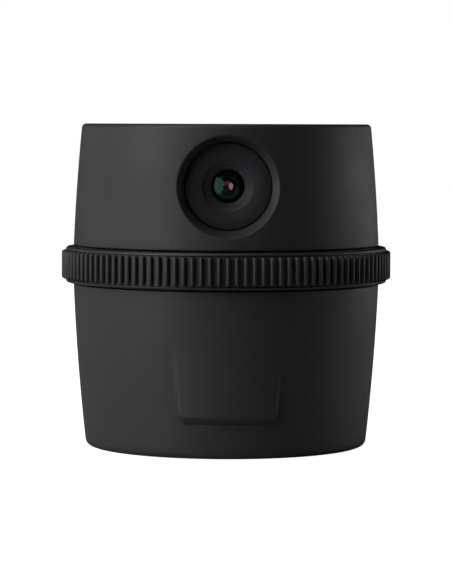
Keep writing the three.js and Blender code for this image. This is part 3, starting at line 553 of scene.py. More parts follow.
baseShell = {
    "edgeRound": 1.3,
    "rimRound": 0.2,
    "shelfDrop": 2.55,  # shelf for the pivot deck, below the rim
    "shelfThick": 2.0,
    "shelfReach": 7.0,
    "padTop": 22.5,
    "padBottom": 7.2,
    "padTopHalf": 10.95,
    "padBottomHalf": 9.45,
    "padRise": 0.95,
    "padStep": 1.6,
    "padFlank": 1.0,
    "padCorner": 1.6,  # in steps or flanks
    "padShoulder": 1.8,  # power of its rounded edge
    "padFade": 1.4,  # power by which it sinks into the wall toward its top
    "firstRow": 3.2,
    "knee": 2.0,  # closely ringed part above the pad's foot
    "rowGaps": (0.4, 0.45, 0.6),  # below the pad's foot, above its knee and below the rim
    "floorRow": 4.0,
    "frontTurn": 27.0,  # half of the finely divided front
    "rearTurn": 18.0,
    "openHalf": 5.1,  # half height of the wall opened up for the port
    "pocketGap": 0.3,
    "pocketSoft": 0.2,
    "pocketRound": 16.0,  # power of the pocket's rounded outline
    "portRound": 4.0,
    "portGap": 0.3,
    "floorThick": 1.6,  # behind the pocket
    "bossMargin": (1.2, 0.6),
}


def softStep(value):
    value = min(max(value, 0.0), 1.0)
    return value * value * (3 - 2 * value)


def padRise(x, z):
    s = baseShell
    tall = s["padTop"] - s["padBottom"]
    share = (z - s["padBottom"]) / tall
    half = s["padBottomHalf"] + (s["padTopHalf"] - s["padBottomHalf"]) * share
    across, up = (half - abs(x)) / s["padFlank"], (z - s["padBottom"]) / s["padStep"]
    if across <= 0 or up <= 0 or share >= 1:
        return 0.0
    corner = s["padCorner"]
    near = corner - math.hypot(max(corner - across, 0), max(corner - up, 0))
    edge = 1 - (1 - min(max(near, 0.0), 1.0)) ** s["padShoulder"]
    fade = min((1 - share) / (1 - s["padStep"] / tall), 1)
    return s["padRise"] * edge * fade ** s["padFade"]


# Reach of a rounded oblong in one direction; a higher power has squarer corners.
def oblong(turn, halfWidth, halfHeight, power):
    flat = (abs(math.cos(turn)) / halfWidth) ** power + (abs(math.sin(turn)) / halfHeight) ** power
    return flat ** (-1 / power)


def makeBaseShell():
    s = baseShell
    foot, rim, wall = baseLow.z, baseHigh.z, shells["wall"]
    coverLow, coverHigh = span("port_cover")
    socketLow, socketHigh = span("usb_socket")
    level = (coverLow.z + coverHigh.z) / 2
    openLow, openHigh = level - s["openHalf"], level + s["openHalf"]
    belowFoot, aboveKnee, belowRim = s["rowGaps"]
    knee = s["padBottom"] + s["knee"]
    rows = evenly(s["firstRow"], s["padBottom"] - belowFoot, 5) + evenly(s["padBottom"], knee, 10)
    rows += evenly(knee + aboveKnee, openLow, 18)
    rows += evenly(openLow, openHigh, 24)[1:]
    rows += evenly(openHigh, rim - belowRim, 5)[1:]
    inside, shelf = baseSide(rim) - wall, rim - s["shelfDrop"]
    shelfEdge, shelfUnder = inside - s["shelfReach"], shelf - s["shelfThick"]
    points = [(baseSide(foot) - wall, foot, 0.2), (baseSide(foot), foot, s["edgeRound"])]
    points += [(baseSide(z), z) for z in rows]
    points += [
        (baseSide(rim), rim, s["rimRound"]), (inside, rim, 0.1), (inside, shelf, 0.1),
        (shelfEdge, shelf, 0.2), (shelfEdge, shelfUnder, 0.2), (baseSide(shelf) - wall, shelfUnder),
    ]
    points += [(baseSide(z) - wall, z) for z in (*evenly(openHigh, openLow, 24), s["floorRow"])]
    rest = (360 - 2 * s["frontTurn"] - 2 * s["rearTurn"]) / 2
    flank = (rest, int(rest / shells["step"]))
    bm = spun(rounded(points, 6), ((2 * s["frontTurn"], 150), flank, (2 * s["rearTurn"], 48), flank),
              first=-90 - s["frontTurn"])
    for vert in bm.verts:
        out = vert.co.xy.length
        if vert.co.y < 0 and out > baseSide(vert.co.z) - 0.5:
            vert.co.xy *= 1 + padRise(vert.co.x, vert.co.z) / out
    halfWidth = coverHigh.x + s["pocketGap"]
    halfHeight = (coverHigh.z - coverLow.z) / 2 + s["pocketGap"]
    soft = s["pocketSoft"]

    def onRim(turn, grown=0.0):
        reach = oblong(turn, halfWidth + grown, halfHeight + grown, s["pocketRound"])
        return wallSpot(reach, turn, level, baseSide, 1)

    def boxed(co, halfSize, power, y):
        turn = dial(co, level)[1]
        return dialSpot(oblong(turn, *halfSize, power), turn, level, y)

    inner = openWall(bm, 90, s["rearTurn"], openLow, openHigh, lambda z: baseSide(z) - wall)
    loop = openWall(bm, 90, s["rearTurn"], openLow, openHigh, baseSide)
    for share in (1 / 3, 1 / 2, 1):
        def nearer(co):
            reach, turn = dial(co, level)
            goal = oblong(turn, halfWidth + soft, halfHeight + soft, s["pocketRound"])
            return wallSpot(reach + (goal - reach) * share, turn, level, baseSide, 1)
        loop = grow(bm, loop, nearer)
    for share in (1 / 3, 2 / 3, 1):
        def overRim(co):
            turn = dial(co, level)[1]
            corner = onRim(turn)
            return eased(onRim(turn, soft), corner, corner + Vector((0, -soft, 0)), share)
        loop = grow(bm, loop, overRim)
    floor = coverLow.y - s["pocketGap"]
    back = floor - s["floorThick"]
    portHalf = (socketHigh.x + s["portGap"], (socketHigh.z - socketLow.z) / 2 + s["portGap"])
    bossHalf = (halfWidth + s["bossMargin"][0], halfHeight + s["bossMargin"][1])
    loop = grow(bm, loop, lambda co: Vector((co.x, floor, co.z)))
    for halfSize, power, y in ((portHalf, s["portRound"], floor), (portHalf, s["portRound"], back),
                               (bossHalf, s["pocketRound"], back)):
        loop = grow(bm, loop, lambda co: boxed(co, halfSize, power, y))
    bmesh.ops.bridge_loops(bm, edges=[*loop, *inner])
    bmesh.ops.recalc_face_normals(bm, faces=bm.faces)
    # The base shell takes the lighter copy of the soft-touch black, whose extra lightness is painted light.
    finishPiece("baseShell", bm, "base", baseTouchPaintedLight, "soft_black", "base_shell", sharp=38)


makeBaseShell()
print("base shell made")


# Lock ring and its rubber

lockRing = {
    "shoulder": 0.55,  # height of each shoulder
    "setback": 0.85,  # shoulder rim in from the rib tips
    "rimRound": 0.45,
    "ribDepth": 0.8,
    "ribCount": 120,
    "ribHalf": 0.46,
    "ribPower": 2.6,  # how full its rounded top is
    "ribEnd": 1.04,  # reach of its rounded ends, in half widths
    "bandInner": 1.55,  # rubber's inside, in from the rib tips
    "seat": 0.15,
    "jamSeat": 0.85,
    "jamLip": 2.5,  # ledge that the jam washer rests on
    "jamGap": 0.3,
}


def makeRing():
    s = lockRing
    foot, top = ringLow.z, ringHigh.z
    rim, floor = bandHigh.x - s["setback"], bandHigh.x - s["bandInner"] - s["seat"]
    lowStep, highStep = foot + s["shoulder"], top - s["shoulder"]
    washerLow, washerHigh = span("jam_washer")
    hole, pocket, throat = -washerLow.x - s["jamLip"], washerHigh.x + s["jamGap"], top - s["jamSeat"]
    bm = spun(rounded([
        (hole, foot, 0.2), (rim, foot, s["rimRound"]), (rim, lowStep, 0.06), (floor, lowStep),
        (floor, highStep), (rim, highStep, 0.06), (rim, top, s["rimRound"]), (pocket, top, 0.1),
        (pocket, throat), (hole, throat, 0.1),
    ], 5), ((360, 240),))
    finishPiece("lockRing", bm, "ring", ringBlack, "ring_black", "lock_ring")


# One rib and half the groove at each side of it, laid on a grid and then turned round the ring.
def makeGripBand():
    s = lockRing
    pitch = 360 / s["ribCount"]
    tip = bandHigh.x
    ground = tip - s["ribDepth"]
    half, inner = s["ribHalf"], tip - s["bandInner"]
    halfPitch = math.radians(pitch) * ground / 2
    low, high = bandLow.z, bandHigh.z
    shares = (0, 0.35, 0.62, 0.82, 0.94, 1.0)
    side = [half * share for share in shares] + [halfPitch]
    across = [-x for x in reversed(side)] + side[1:]
    endReach = half * s["ribEnd"]
    ends = [low, low] + [low + endReach - half * share for share in reversed(shares)]
    up = ends + [low + high - z for z in reversed(ends)]

    def ribHeight(x, z):
        spine = min(max(z, low + endReach), high - endReach)
        share = math.hypot(x, z - spine) / half
        return s["ribDepth"] * math.sqrt(max(1 - share ** s["ribPower"], 0))

    bm = bmesh.new()
    bmesh.ops.create_grid(bm, x_segments=len(across) - 1, y_segments=len(up) - 1, size=1)
    columns = sorted({round(v.co.x, 4) for v in bm.verts})
    lines = sorted({round(v.co.y, 4) for v in bm.verts})
    for vert in bm.verts:
        row = lines.index(round(vert.co.y, 4))
        x, z = across[columns.index(round(vert.co.x, 4))], up[row]
        radius = inner if row in (0, len(up) - 1) else ground + ribHeight(x, z)
        turn = x / ground
        vert.co = (radius * math.cos(turn), radius * math.sin(turn), z)
    bmesh.ops.spin(bm, geom=bm.verts[:] + bm.edges[:] + bm.faces[:], cent=(0, 0, 0), axis=(0, 0, 1),
                   angle=math.radians(360 - pitch), steps=s["ribCount"] - 1, use_duplicate=True)
    bmesh.ops.remove_doubles(bm, verts=bm.verts, dist=weld)
    bmesh.ops.bridge_loops(bm, edges=[edge for edge in bm.edges if edge.is_boundary])
    bmesh.ops.recalc_face_normals(bm, faces=bm.faces)
    finishPiece("gripBand", bm, "ring", rubber, "rubber", "grip_band", sharp=50)


makeRing()
makeGripBand()
print("lock ring made")


# Top cap, button and light pipe

topParts = {
    "gap": 0.3,
    "edge": 0.12,
    "buttonRim": 1.0,
    "buttonDish": 0.3,
    "dishSteps": 8,
    "buttonEdge": 0.3,
    "flange": 1.2,
    "flangeThick": 0.8,
    "lampGap": 0.15,
}


def makeTop():
    s = topParts
    buttonLow, buttonHigh = span("power_button")
    pipeLow, pipeHigh = span("light_pipe")
    button, steps = buttonHigh.x - s["flange"], s["dishSteps"]
    lampX, lampRadius = (pipeLow.x + pipeHigh.x) / 2, pipeHigh.y
    rounds = (0.05, 0.1, s["edge"], s["edge"])
    lid = spun(ringLine(button + s["gap"], capHigh.x, capLow.z, capHigh.z, rounds, 3), ((360, 144),))
    lid = carved(lid, [cylinder(lampRadius + s["lampGap"], capLow.z - 1, capHigh.z + 1, lampX)])
    finishPiece("topCap", lid, "head", softTouch, "soft_black", "top_cap")
    flangeTop, top = buttonLow.z + s["flangeThick"], buttonHigh.z
    inside = button - s["buttonRim"]
    dish = [(inside * (1 - i / steps), top - s["buttonDish"] * (1 - (1 - i / steps) ** 2))
            for i in range(1, steps + 1)]
    bm = spun(rounded([
        (0, buttonLow.z), (buttonHigh.x, buttonLow.z, 0.1), (buttonHigh.x, flangeTop, 0.1),
        (button, flangeTop), (button, top, s["buttonEdge"]), (inside, top, 0.3), *dish,
    ], 4), ((360, 96),), closed=False)
    finishPiece("powerButton", bm, "button", sparkPlastic, "dark_plastic", "power_button")
    bm = spun(rounded([
        (0, pipeLow.z), (lampRadius, pipeLow.z, 0.05), (lampRadius, pipeHigh.z, 0.25), (0, pipeHigh.z),
    ], 4), ((360, 48),), closed=False)
    bm.transform(Matrix.Translation((lampX, 0, 0)))
    finishPiece("lightPipe", bm, "head", lamp, "lamp", "light_pipe")


makeTop()
print("top made")


# Window and lens; the first number of a point is the radius, the second the distance outward

lens = {
    "glassEdge": 0.12,
    "maskHole": 4.95,
    "sealWide": 0.7,
    "baffleHole": 3.25,
    "baffleDepth": 2.25,
    "baffleLead": 0.25,  # flat between the mask's hole and the first ridge
    "ridges": 5,
    "ridgeShape": ((0, 0.6), (0.35, 0.4, 0.05), (0.8, 0.75, 0.03)),  # shares in and down, then the round
    "skirt": 6.15,
    "skirtGap": 0.15,
    "eye": 3.5,
    "lip": 0.6,
    "bore": 4.5,
    "boreRow": 0.5,
    "element": 4.35,
    "frontElement": (11.0, 3.5, -5.0, 3.0),  # ball and rim of its front face, then of its back face
    "middleElement": (-3.8, 1.0, 14.0, 3.4),
    "rearElement": (3.8, 1.15, 20.0, 4.1),
    "spacer": (1.7, 1.98, 2.5),  # bore, crest and outside of the ring in front of the middle element
    "spacerHigh": (0.1, 0.4, 0.12),  # its height at each of them
    "ripple": 0.12,
    "ripples": 8,
    "rippleEnds": (0.3, 0.4),  # flat left inside and outside them
    "fit": 0.02,
    "stopHole": 1.2,
    "retainerHole": 2.8,
}


def depths(name):
    low, high = span(name)
    return -high.y, -low.y  # back and front, outward along the lens axis


def lensPiece(name, points, material, slot, *nodes, closed=True, steps=96, sharp=32.0):
    bm = alongLens(spun(points, ((360, steps),), closed=closed))
    return finishPiece(name, bm, "head", material, slot, *nodes, sharp=sharp)


# A ball's cap from its rim to its middle, as radii and heights above the rim.
def cap(ball, rim, steps=10):
    drop = math.sqrt(ball ** 2 - rim ** 2)
    radii = [rim * (1 - i / steps) for i in range(steps + 1)]
    return [(radius, math.sqrt(ball ** 2 - radius ** 2) - drop) for radius in radii]


def makeWindow():
    s = lens
    radius = glassHigh.x
    back, front = depths("window_glass")
    pane = rounded([(0, back), (radius, back, 0.08), (radius, front, s["glassEdge"]), (0, front)], 3)
    lensPiece("windowGlass", pane, windowCoat, "window", "window_glass", closed=False, steps=144)
    mask = ringLine(s["maskHole"], radius, *depths("window_mask"), (0.03, 0.03, 0.03, 0.05), 2)
    lensPiece("windowMask", mask, maskInk, "mask", "window_mask", steps=144)
    seal = ringLine(radius - s["sealWide"], radius, *depths("window_seal"), (0.15,) * 4, 3)
    lensPiece("windowSeal", seal, rubber, "rubber", "window_seal")


# A funnel of fine ridges, each with a rounded crest and an undercut behind it.
def makeBaffle():
    s = lens
    back, front = depths("lens_baffle")
    outer = span("lens_baffle")[1].x
    barrelFront = depths("lens_barrel")[1]
    width = (s["maskHole"] - s["baffleHole"]) / s["ridges"]
    drop = s["baffleDepth"] / s["ridges"]
    points = [(outer, back, 0.1), (outer, front, 0.1), (s["maskHole"] + s["baffleLead"], front, 0.05)]
    for i in range(s["ridges"]):
        radius, high = s["maskHole"] - width * i, front - drop * i
        points += [(radius - width * across, high - drop * down, *soft)
                   for across, down, *soft in s["ridgeShape"]]
    points += [(s["baffleHole"], front - s["baffleDepth"] - s["fit"], 0.03),
               (s["skirt"], barrelFront + s["skirtGap"]), (s["skirt"], back, 0.05)]
    # The baffle's lighter black paints highlight onto its ridges.
    lensPiece("lensBaffle", rounded(points, 3), baffleBlackPaintedHighlight, "anodised", "lens_baffle", steps=144, sharp=40)


def makeBarrel():
    s = lens
    back, front = depths("lens_barrel")
    outer = span("lens_barrel")[1].x
    rows = [(s["bore"], back + s["boreRow"] * i) for i in (3, 2, 1)]
    points = [(s["bore"], back, 0.1), (outer, back, 0.2), (outer, front, 0.3), (s["eye"], front, 0.15),
              (s["eye"], front - s["lip"], 0.05), (s["bore"], front - s["lip"]), *rows]
    lensPiece("lensBarrel", rounded(points, 4), anodised, "anodised", "lens_barrel")


# An element with its coating on the front; a negative ball is a hollow. Both faces end at a flat rim.
def makeElement(name, cadNode, coating, frontBall, frontRim, backBall, backRim):
    edge = lens["element"]
    back, front = depths(cadNode)
    face, rear = cap(abs(frontBall), frontRim), cap(abs(backBall), backRim)
    frontFlat = front - face[-1][1] if frontBall > 0 else front
    backFlat = back + rear[-1][1] if backBall > 0 else back
    over = [(r, frontFlat + math.copysign(h, frontBall)) for r, h in face]
    under = [(r, backFlat - math.copysign(h, backBall)) for r, h in rear]
    points = [*reversed(under), (edge, backFlat), (edge, frontFlat), *over]
    made = lensPiece(name, points, coating, "lens_glass", cadNode, closed=False, sharp=40)
    made.data.materials.append(clearCoat)
    for side in made.data.polygons:
        outFrom = math.hypot(side.center.x * 1000, side.center.z * 1000 - lensAxis)
        side.material_index = int(side.normal.y > -0.2 or outFrom > frontRim)


# Turned rings around the light path, as they are seen through the front element.
def ripples(inner, outer, level, count, rise):
    pitch = (outer - inner) / count
    return [(inner + pitch * (i + side), level + rise * up, 0.03)
            for i in range(count) for side, up in ((0.15, 0), (0.5, 1), (0.85, 0))]


def makeLens():
    s = lens
    for name, cadNode, coating in (("frontElement", "front_element", greenCoat),
                                   ("middleElement", "middle_element", roseCoat),
                                   ("rearElement", "rear_element", tanCoat)):
        makeElement(name, cadNode, coating, *s[name])
    back, front = depths("aperture_stop")
    low = front - s["ripple"]
    leaf = ripples(s["stopHole"] + s["rippleEnds"][0], s["element"] - s["rippleEnds"][1], low, s["ripples"],
                   s["ripple"])
    stop = [(s["stopHole"], back, 0.04), (s["element"], back), (s["element"], front), *reversed(leaf),
            (s["stopHole"], low, 0.05)]
    lensPiece("apertureStop", rounded(stop, 2), anodised, "mask", "aperture_stop")
    seat = depths("middle_element")[1] + s["fit"]
    bore, crest, outer = s["spacer"]
    boreHigh, crestHigh, outerHigh = s["spacerHigh"]
    spacer = [(bore, seat, 0.02), (outer, seat, 0.02), (outer, seat + outerHigh, 0.02),
              (crest, seat + crestHigh, 0.05), (bore, seat + boreHigh, 0.04)]
    lensPiece("lensSpacer", rounded(spacer, 3), anodised, "anodised")
    retainer = ringLine(s["retainerHole"], s["element"], *depths("lens_retainer"), (0.1,) * 4, 2)
    lensPiece("lensRetainer", retainer, anodised, "anodised", "lens_retainer")


makeWindow()
makeBaffle()
makeBarrel()
makeLens()
print("lens made")


# Fasteners, plate, foot and tripod insert

screws = {
    "shank": 0.9,
    "length": 4.5,
    "head": 1.7,
    "headHigh": 1.1,
    "threads": 8,
    "threadStart": 0.3,
    "threadDeep": 0.16,
    "tip": 0.35,
    "cross": 0.42,
    "crossDeep": 0.7,
}


# A pan head with a cross recess; the head points down at height 0 and the threaded shank goes up.
def screwMesh():
    s = screws
    under, root = -s["headHigh"], s["shank"] - s["threadDeep"]
    pitch = (s["length"] - 2 * s["threadStart"]) / s["threads"]
    points = [(0, under), (s["head"] * 0.55, under + 0.02), (s["head"], under + 0.1, 0.25),
              (s["head"], 0, 0.05), (s["shank"], 0)]
    for i in range(s["threads"]):
        foot = s["threadStart"] + i * pitch
        points += [(root, foot), (s["shank"], foot + pitch / 2), (root, foot + pitch)]
    points += [(s["tip"], s["length"]), (0, s["length"])]
    bm = spun(rounded(points, 3), ((360, 32),), closed=False)
    reach, half = s["head"] * 0.6, s["cross"] / 2
    blades = []
    for turn in (0, 90):
        blade = slab(Vector((-reach, -half, under - 1)), Vector((reach, half, under + s["crossDeep"])))
        blade.transform(Matrix.Rotation(math.radians(turn), 4, "Z"))
        blades.append(blade)
    return carved(bm, blades)


def makeScrews():
    whole = screwMesh()
    kinds = (("base", "base", 3), ("deck", "base", 3), ("head", "head", 3), ("sensor", "head", 2))
    for kind, body, count in kinds:
        for i in range(1, count + 1):
            low, high = span(f"{kind}_screw_{i}")
            seat = (low + high) / 2
            bm = whole.copy()
            if kind == "sensor":  # driven forward from behind the sensor board
                seat.y = high.y - screws["headHigh"]
                bm.transform(Matrix.Rotation(math.pi / 2, 4, "X"))
            else:
                seat.z = low.z + screws["headHigh"]
            bm.transform(Matrix.Translation(seat))
            finishPiece(f"{kind}Screw{i}", bm, body, steel, "steel", f"{kind}_screw_{i}")
    whole.free()


underside = {
    "footWide": 6.0,
    "footGap": 0.3,
    "footSunk": 0.6,
    "holeGap": 0.3,
    "screwHole": 1.1,
    "screwSink": 1.85,
    "screwSeat": 0.15,
    "insert": 5.0,
    "bore": 3.175,
    "crown": 0.8,
    "flange": 1.2,
    "flangeGap": 0.15,
    "threadPitch": 1.27,
    "threadDeep": 0.45,
    "threadStart": 0.7,
    "threadTurns": 4,
    "turnSteps": 40,
}


def makeUnderside():
    s = underside
    low, high = span("base_plate")
    footLow, footHigh = span("foot_ring")
    footInner, hole = footHigh.x - s["footWide"], s["insert"] + s["holeGap"]
    grooveIn, grooveOut, groove = footInner - s["footGap"], footHigh.x + s["footGap"], low.z + s["footSunk"]
    plate = spun(rounded([
        (hole, low.z, 0.2), (grooveIn, low.z, 0.15), (grooveIn, groove), (grooveOut, groove),
        (grooveOut, low.z, 0.15), (high.x, low.z, 0.3), (high.x, high.z, 0.1), (hole, high.z, 0.1),
    ], 3), ((360, 144),))
    drills = []
    for i in (1, 2, 3):
        screwLow, screwHigh = span(f"base_screw_{i}")
        x, y = (screwLow.x + screwHigh.x) / 2, (screwLow.y + screwHigh.y) / 2
        sink = screwLow.z + screws["headHigh"] + s["screwSeat"]
        drills += [cylinder(s["screwHole"], low.z - 1, high.z + 1, x, y),
                   cylinder(s["screwSink"], low.z - 1, sink, x, y)]
    finishPiece("basePlate", carved(plate, drills), "base", sparkPlastic, "dark_plastic", "base_plate")
    foot = ringLine(footInner, footHigh.x, footLow.z, footHigh.z, (0.45, 0.45, 0.1, 0.1), 4)
    finishPiece("footRing", spun(foot, ((360, 144),)), "base", rubber, "rubber", "foot_ring")


def makeInsert():
    s = underside
    outer, bore = s["insert"], s["bore"]
    low, high = span("tripod_insert")
    crown, flange = high.z - s["crown"], span("base_plate")[1].z + s["flangeGap"]
    flangeTop = flange + s["flange"]
    insert = spun(rounded([
        (0, crown), (bore, crown), (bore, low.z, 0.35), (outer, low.z, 0.2), (outer, flange),
        (high.x, flange, 0.1), (high.x, flangeTop, 0.1), (outer, flangeTop), (outer, high.z, 0.4),
        (0, high.z),
    ], 4), ((360, 96),), closed=False)
    finishPiece("tripodInsert", insert, "base", brass, "brass", "tripod_insert")


# One tooth spun up the insert's bore.
def makeThread():
    s = underside
    bore, pitch, turns = s["bore"] - 0.01, s["threadPitch"], s["threadTurns"]
    crest, start = bore - s["threadDeep"], span("tripod_insert")[0].z + s["threadStart"]
    steps = s["turnSteps"] * turns
    tooth = ((bore, 0), (crest, 0.3), (crest, 0.4), (bore, 0.7))
    bm = bmesh.new()
    face = bm.faces.new([bm.verts.new((x, 0, start + pitch * up)) for x, up in tooth])
    bmesh.ops.spin(bm, geom=[face], cent=(0, 0, 0), axis=(0, 0, 1), dvec=(0, 0, pitch * turns / steps),
                   angle=math.tau * turns, steps=steps)
    bmesh.ops.remove_doubles(bm, verts=bm.verts, dist=weld)
    bmesh.ops.recalc_face_normals(bm, faces=bm.faces)
    finishPiece("insertThread", bm, "base", brass, "brass")


makeScrews()
makeUnderside()
makeInsert()
makeThread()
print("underside made")


# Port cover and charging socket

portCover = {
    "round": 7.0,  # power of its rounded outline; the shell's pocket is squarer, so that it can swing out
    "sunk": 0.22,
    "edge": 0.45,
    "lipAt": 6.0,
    "lipHalf": 0.55,
    "lipRise": 0.62,
    "lipInset": 1.2,
    "lipEase": (0.45, 0.5),  # run-out across and along the finger lip
}


def makeCover():
    s = portCover
    power, (easeAcross, easeAlong) = s["round"], s["lipEase"]
    low, high = span("port_cover")
    level, halfHeight, halfWidth = (low.z + high.z) / 2, (high.z - low.z) / 2, high.x
    bm = bmesh.new()
    bmesh.ops.create_grid(bm, x_segments=56, y_segments=24, size=1)
    for vert in bm.verts:
        u, w = vert.co.x, vert.co.y
        far = max(abs(u), abs(w))
        fit = far / (abs(u) ** power + abs(w) ** power) ** (1 / power) if far else 1
        x, up = u * fit * halfWidth, w * fit * halfHeight
        lip = softStep((s["lipHalf"] - abs(x - s["lipAt"])) / easeAcross)
        lip *= softStep((halfHeight - s["lipInset"] - abs(up)) / easeAlong)
        y = math.sqrt((baseSide(level + up) - s["sunk"]) ** 2 - x * x) + s["lipRise"] * lip
        vert.co = (x, y, level + up)
    pushed(bm, bm.faces[:], low.y)
    bmesh.ops.recalc_face_normals(bm, faces=bm.faces)
    sharpest = math.radians(60)
    rims = [edge for edge in bm.edges if len(edge.link_faces) == 2 and edge.calc_face_angle() > sharpest]
    bmesh.ops.bevel(bm, geom=rims, offset=s["edge"], offset_type="OFFSET", affect="EDGES", segments=3,
                    profile=0.5, material=-1)
    finishPiece("portCover", bm, "cover", rubber, "rubber", "port_cover", sharp=45)


socket = {
    "wall": 0.35,
    "floor": 1.2,
    "tongueHalf": (2.6, 0.35),
    "tongueBack": 0.6,  # behind the mouth
    "tongueEdge": 0.12,
    "contacts": 6,
    "contactPitch": 0.75,
    "contactBack": 2.6,
    "contact": (0.36, 3.2, 0.03),
    "fit": 0.02,
}


# A round-ended tube with a closed back, made by insetting and sinking its mouth.
def makeSocket():
    s = socket
    low, high = span("usb_socket")
    level, halfHeight = (low.z + high.z) / 2, (high.z - low.z) / 2
    bm = bmesh.new()
    place = Matrix.Translation((0, high.y, level)) @ Matrix.Rotation(-math.pi / 2, 4, "X")
    bmesh.ops.create_circle(bm, cap_ends=True, segments=48, radius=halfHeight, matrix=place)
    for vert in bm.verts:
        if abs(vert.co.x) > 0.001:  # the two in the middle stay
            vert.co.x += math.copysign(high.x - halfHeight, vert.co.x)
    pushed(bm, bm.faces[:], low.y)
    bmesh.ops.recalc_face_normals(bm, faces=bm.faces)
    mouth = [face for face in bm.faces if len(face.verts) > 6 and face.calc_center_median().y > high.y - 0.01]
    bmesh.ops.inset_region(bm, faces=mouth, thickness=s["wall"], use_even_offset=True)
    floor = low.y + s["floor"]
    pushed(bm, mouth, floor)
    bmesh.ops.delete(bm, geom=mouth, context="FACES_ONLY")
    bmesh.ops.recalc_face_normals(bm, faces=bm.faces)
    finishPiece("chargeSocket", bm, "base", steel, "steel", "usb_socket", sharp=40)
    halfX, halfZ = s["tongueHalf"]
    tongue = slab(Vector((-halfX, floor + s["fit"], level - halfZ)),
                  Vector((halfX, high.y - s["tongueBack"], level + halfZ)), s["tongueEdge"])
    finishPiece("socketTongue", tongue, "base", sparkPlastic, "dark_plastic")
    pads = bmesh.new()
    for side in (-1, 1):
        for i in range(s["contacts"]):
            x = (i - (s["contacts"] - 1) / 2) * s["contactPitch"]
            place = Matrix.Translation((x, high.y - s["contactBack"], level + side * (halfZ + s["fit"])))
            bmesh.ops.create_cube(pads, size=1, matrix=place @ Matrix.Diagonal((*s["contact"], 1)))
    finishPiece("socketContacts", pads, "base", brass, "brass")


makeCover()
makeSocket()
print("port made")


# CAD nodes that stay, with their own finishes

kept = {
    greyAcetal: ["jam_washer"],
    sparkPlastic: ["pivot_deck", "battery_tray", "head_frame", "lens_holder", "tact_switch"],
    acetal: ["thrust_washer", "battery_socket", "harness_socket", "ribbon_socket", "switch_plunger"],
    steel: ["stop_pin", "spindle_nut"],
    boardGreen: ["charge_board", "main_board", "sensor_board", "button_board"],
    flex: ["ribbon_cable", "antenna", "battery_lead"],
    shieldTin: ["processor_can"],
    pouch: ["battery"],
    chip: ["image_sensor"],
    blueCoat: ["ir_filter"],
    rubber: ["harness"],
    lamp: ["lamp_chip"],
}

for material, names in kept.items():
    for name in names:
        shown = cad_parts[name]
        shown.data.materials.clear()
        shown.data.materials.append(material)


# Floor, light and camera

studio = {
    "distance": 0.5648,  # camera from the body's axis
    "pitch": 3.422,
    "swing": 0.7,  # camera a little to the left
    "lensLength": 173.35,
    "floorSize": 6.0,
    "floorTone": 0.8,
    "floorDim": 0.36,  # what it gives back to the body
    "lightAim": 0.035,
    "lightAway": 0.9,
    "roll": 0.2,
    "cardTurn": -19,
    "cardAway": 0.12,
    "cardSize": (0.05, 0.075),
    "cardPower": 0.013,
    "backdrop": 1.0,
    "ambient": 0.008,
}


def makeCamera():
    s = studio
    data = bpy.data.cameras.new("camera")
    data.lens = s["lensLength"]
    data.sensor_width = 36
    data.clip_start = 0.01
    data.dof.use_dof = False
    made = bpy.data.objects.new("camera", data)
    bpy.context.scene.collection.objects.link(made)
    turn, tilt = math.radians(s["swing"]), math.radians(s["pitch"])
    made.location = (-s["distance"] * math.sin(turn), -s["distance"] * math.cos(turn), headHigh.z / 1000)
    level = Matrix.Rotation(-turn, 4, "Z") @ Matrix.Rotation(math.pi / 2 - tilt, 4, "X")
    made.rotation_euler = (level @ Matrix.Rotation(math.radians(s["roll"]), 4, "Z")).to_euler()
    bpy.context.scene.camera = made


# Each soft light's turn from straight ahead (left is negative), height in degrees, size and power.
lights = {
    "highKey": (-58, 62, (0.5, 0.7), 2.0),
    "middleKey": (-52, 34, (0.5, 0.7), 2.9),
    "lowKey": (-60, 7, (0.5, 0.5), 3.4),
    "leftRim": (-95, 7, (0.5, 0.4), 0.8),
    "leftBack": (-125, 5, (0.5, 0.4), 0.7),
    "rightRim": (98, 6, (0.5, 0.4), 1.0),
    "rightBack": (125, 5, (0.5, 0.4), 1.2),
}


# Stands off from its target on a given side and faces it; reached says which pieces it lights.
def addLight(name, shape, size, power, target, turn, lift, distance, reached):
    data = bpy.data.lights.new(name, "AREA")
    data.shape = shape
    data.size, data.size_y = size
    data.energy = power
    made = bpy.data.objects.new(name, data)
    bpy.context.scene.collection.objects.link(made)
    around, up = math.radians(turn), math.radians(lift)
    away = Vector((math.sin(around) * math.cos(up), -math.cos(around) * math.cos(up), math.sin(up)))
    made.location = target + away * distance
    made.rotation_euler = (-away).to_track_quat("-Z", "Y").to_euler()
    made.visible_camera = False
    made.light_linking.receiver_collection = reached


# The coated elements, and any others, as a group that a light reaches or is flagged off.
def lensGroup(name, state, *others):
    group = bpy.data.collections.new(name)
    for piece in ("frontElement", "middleElement", "rearElement", *others):
        group.objects.link(bpy.data.objects[piece])
    for item in group.collection_objects:
        item.light_linking.link_state = state
    return group


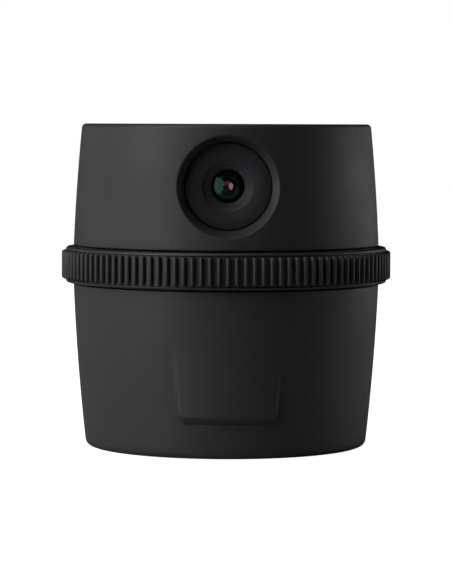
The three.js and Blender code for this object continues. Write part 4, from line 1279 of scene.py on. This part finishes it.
# Big soft lights for the body, and a small card close in front of the lens for its coatings.
def makeLights():
    s = studio
    flagged = lensGroup("flagged", "EXCLUDE")
    bodyMiddle = Vector((0, 0, s["lightAim"]))
    for name, (turn, lift, size, power) in lights.items():
        addLight(name, "RECTANGLE", size, power, bodyMiddle, turn, lift, s["lightAway"], flagged)
    lensOnly = lensGroup("coated", "INCLUDE", "lensBaffle", "lensSpacer")
    lensFront = Vector((0, span("front_element")[0].y, lensAxis)) / 1000
    addLight("lensCard", "ELLIPSE", s["cardSize"], s["cardPower"], lensFront, s["cardTurn"], 0,
             s["cardAway"], lensOnly)


def makeWorld():
    s = studio
    world = bpy.data.worlds.new("studio")
    bpy.context.scene.world = world
    world.use_nodes = True
    tree = world.node_tree
    path = node(tree, "ShaderNodeLightPath")
    strength = between(tree, path.outputs["Is Camera Ray"], s["ambient"], s["backdrop"], 0.0, 1.0)
    tree.links.new(strength, tree.nodes["Background"].inputs["Strength"])
    tree.nodes["Background"].inputs["Color"].default_value = (1, 1, 1, 1)


# Pale sweep: it glows to the camera so that it stays white, and gives the body little light back.
def makeFloor():
    s = studio
    bm = bmesh.new()
    bmesh.ops.create_grid(bm, x_segments=1, y_segments=1, size=s["floorSize"] / 2)
    mesh = bpy.data.meshes.new("floor")
    bm.to_mesh(mesh)
    bm.free()
    made = bpy.data.objects.new("floor", mesh)
    bpy.context.scene.collection.objects.link(made)
    material, tree, shader = startFinish("paleFloor", (s["floorTone"],) * 3, 0.9)
    shader.inputs["Specular IOR Level"].default_value = 0.1
    glow = node(tree, "ShaderNodeEmission", Color=(1, 1, 1, 1), Strength=1.0)
    dim = node(tree, "ShaderNodeBsdfDiffuse", Color=(*(s["floorDim"],) * 3, 1))
    both = node(tree, "ShaderNodeAddShader")
    pick = node(tree, "ShaderNodeMixShader")
    path = node(tree, "ShaderNodeLightPath")
    tree.links.new(shader.outputs[0], both.inputs[0])
    tree.links.new(glow.outputs[0], both.inputs[1])
    tree.links.new(path.outputs["Is Camera Ray"], pick.inputs[0])
    tree.links.new(dim.outputs[0], pick.inputs[1])
    tree.links.new(both.outputs[0], pick.inputs[2])
    tree.links.new(pick.outputs[0], tree.nodes["Material Output"].inputs["Surface"])
    mesh.materials.append(material)


makeCamera()
makeWorld()
makeFloor()
makeLights()
bpy.context.scene.view_settings.view_transform = "Standard"
bpy.context.scene.view_settings.look = "None"
print("studio made")
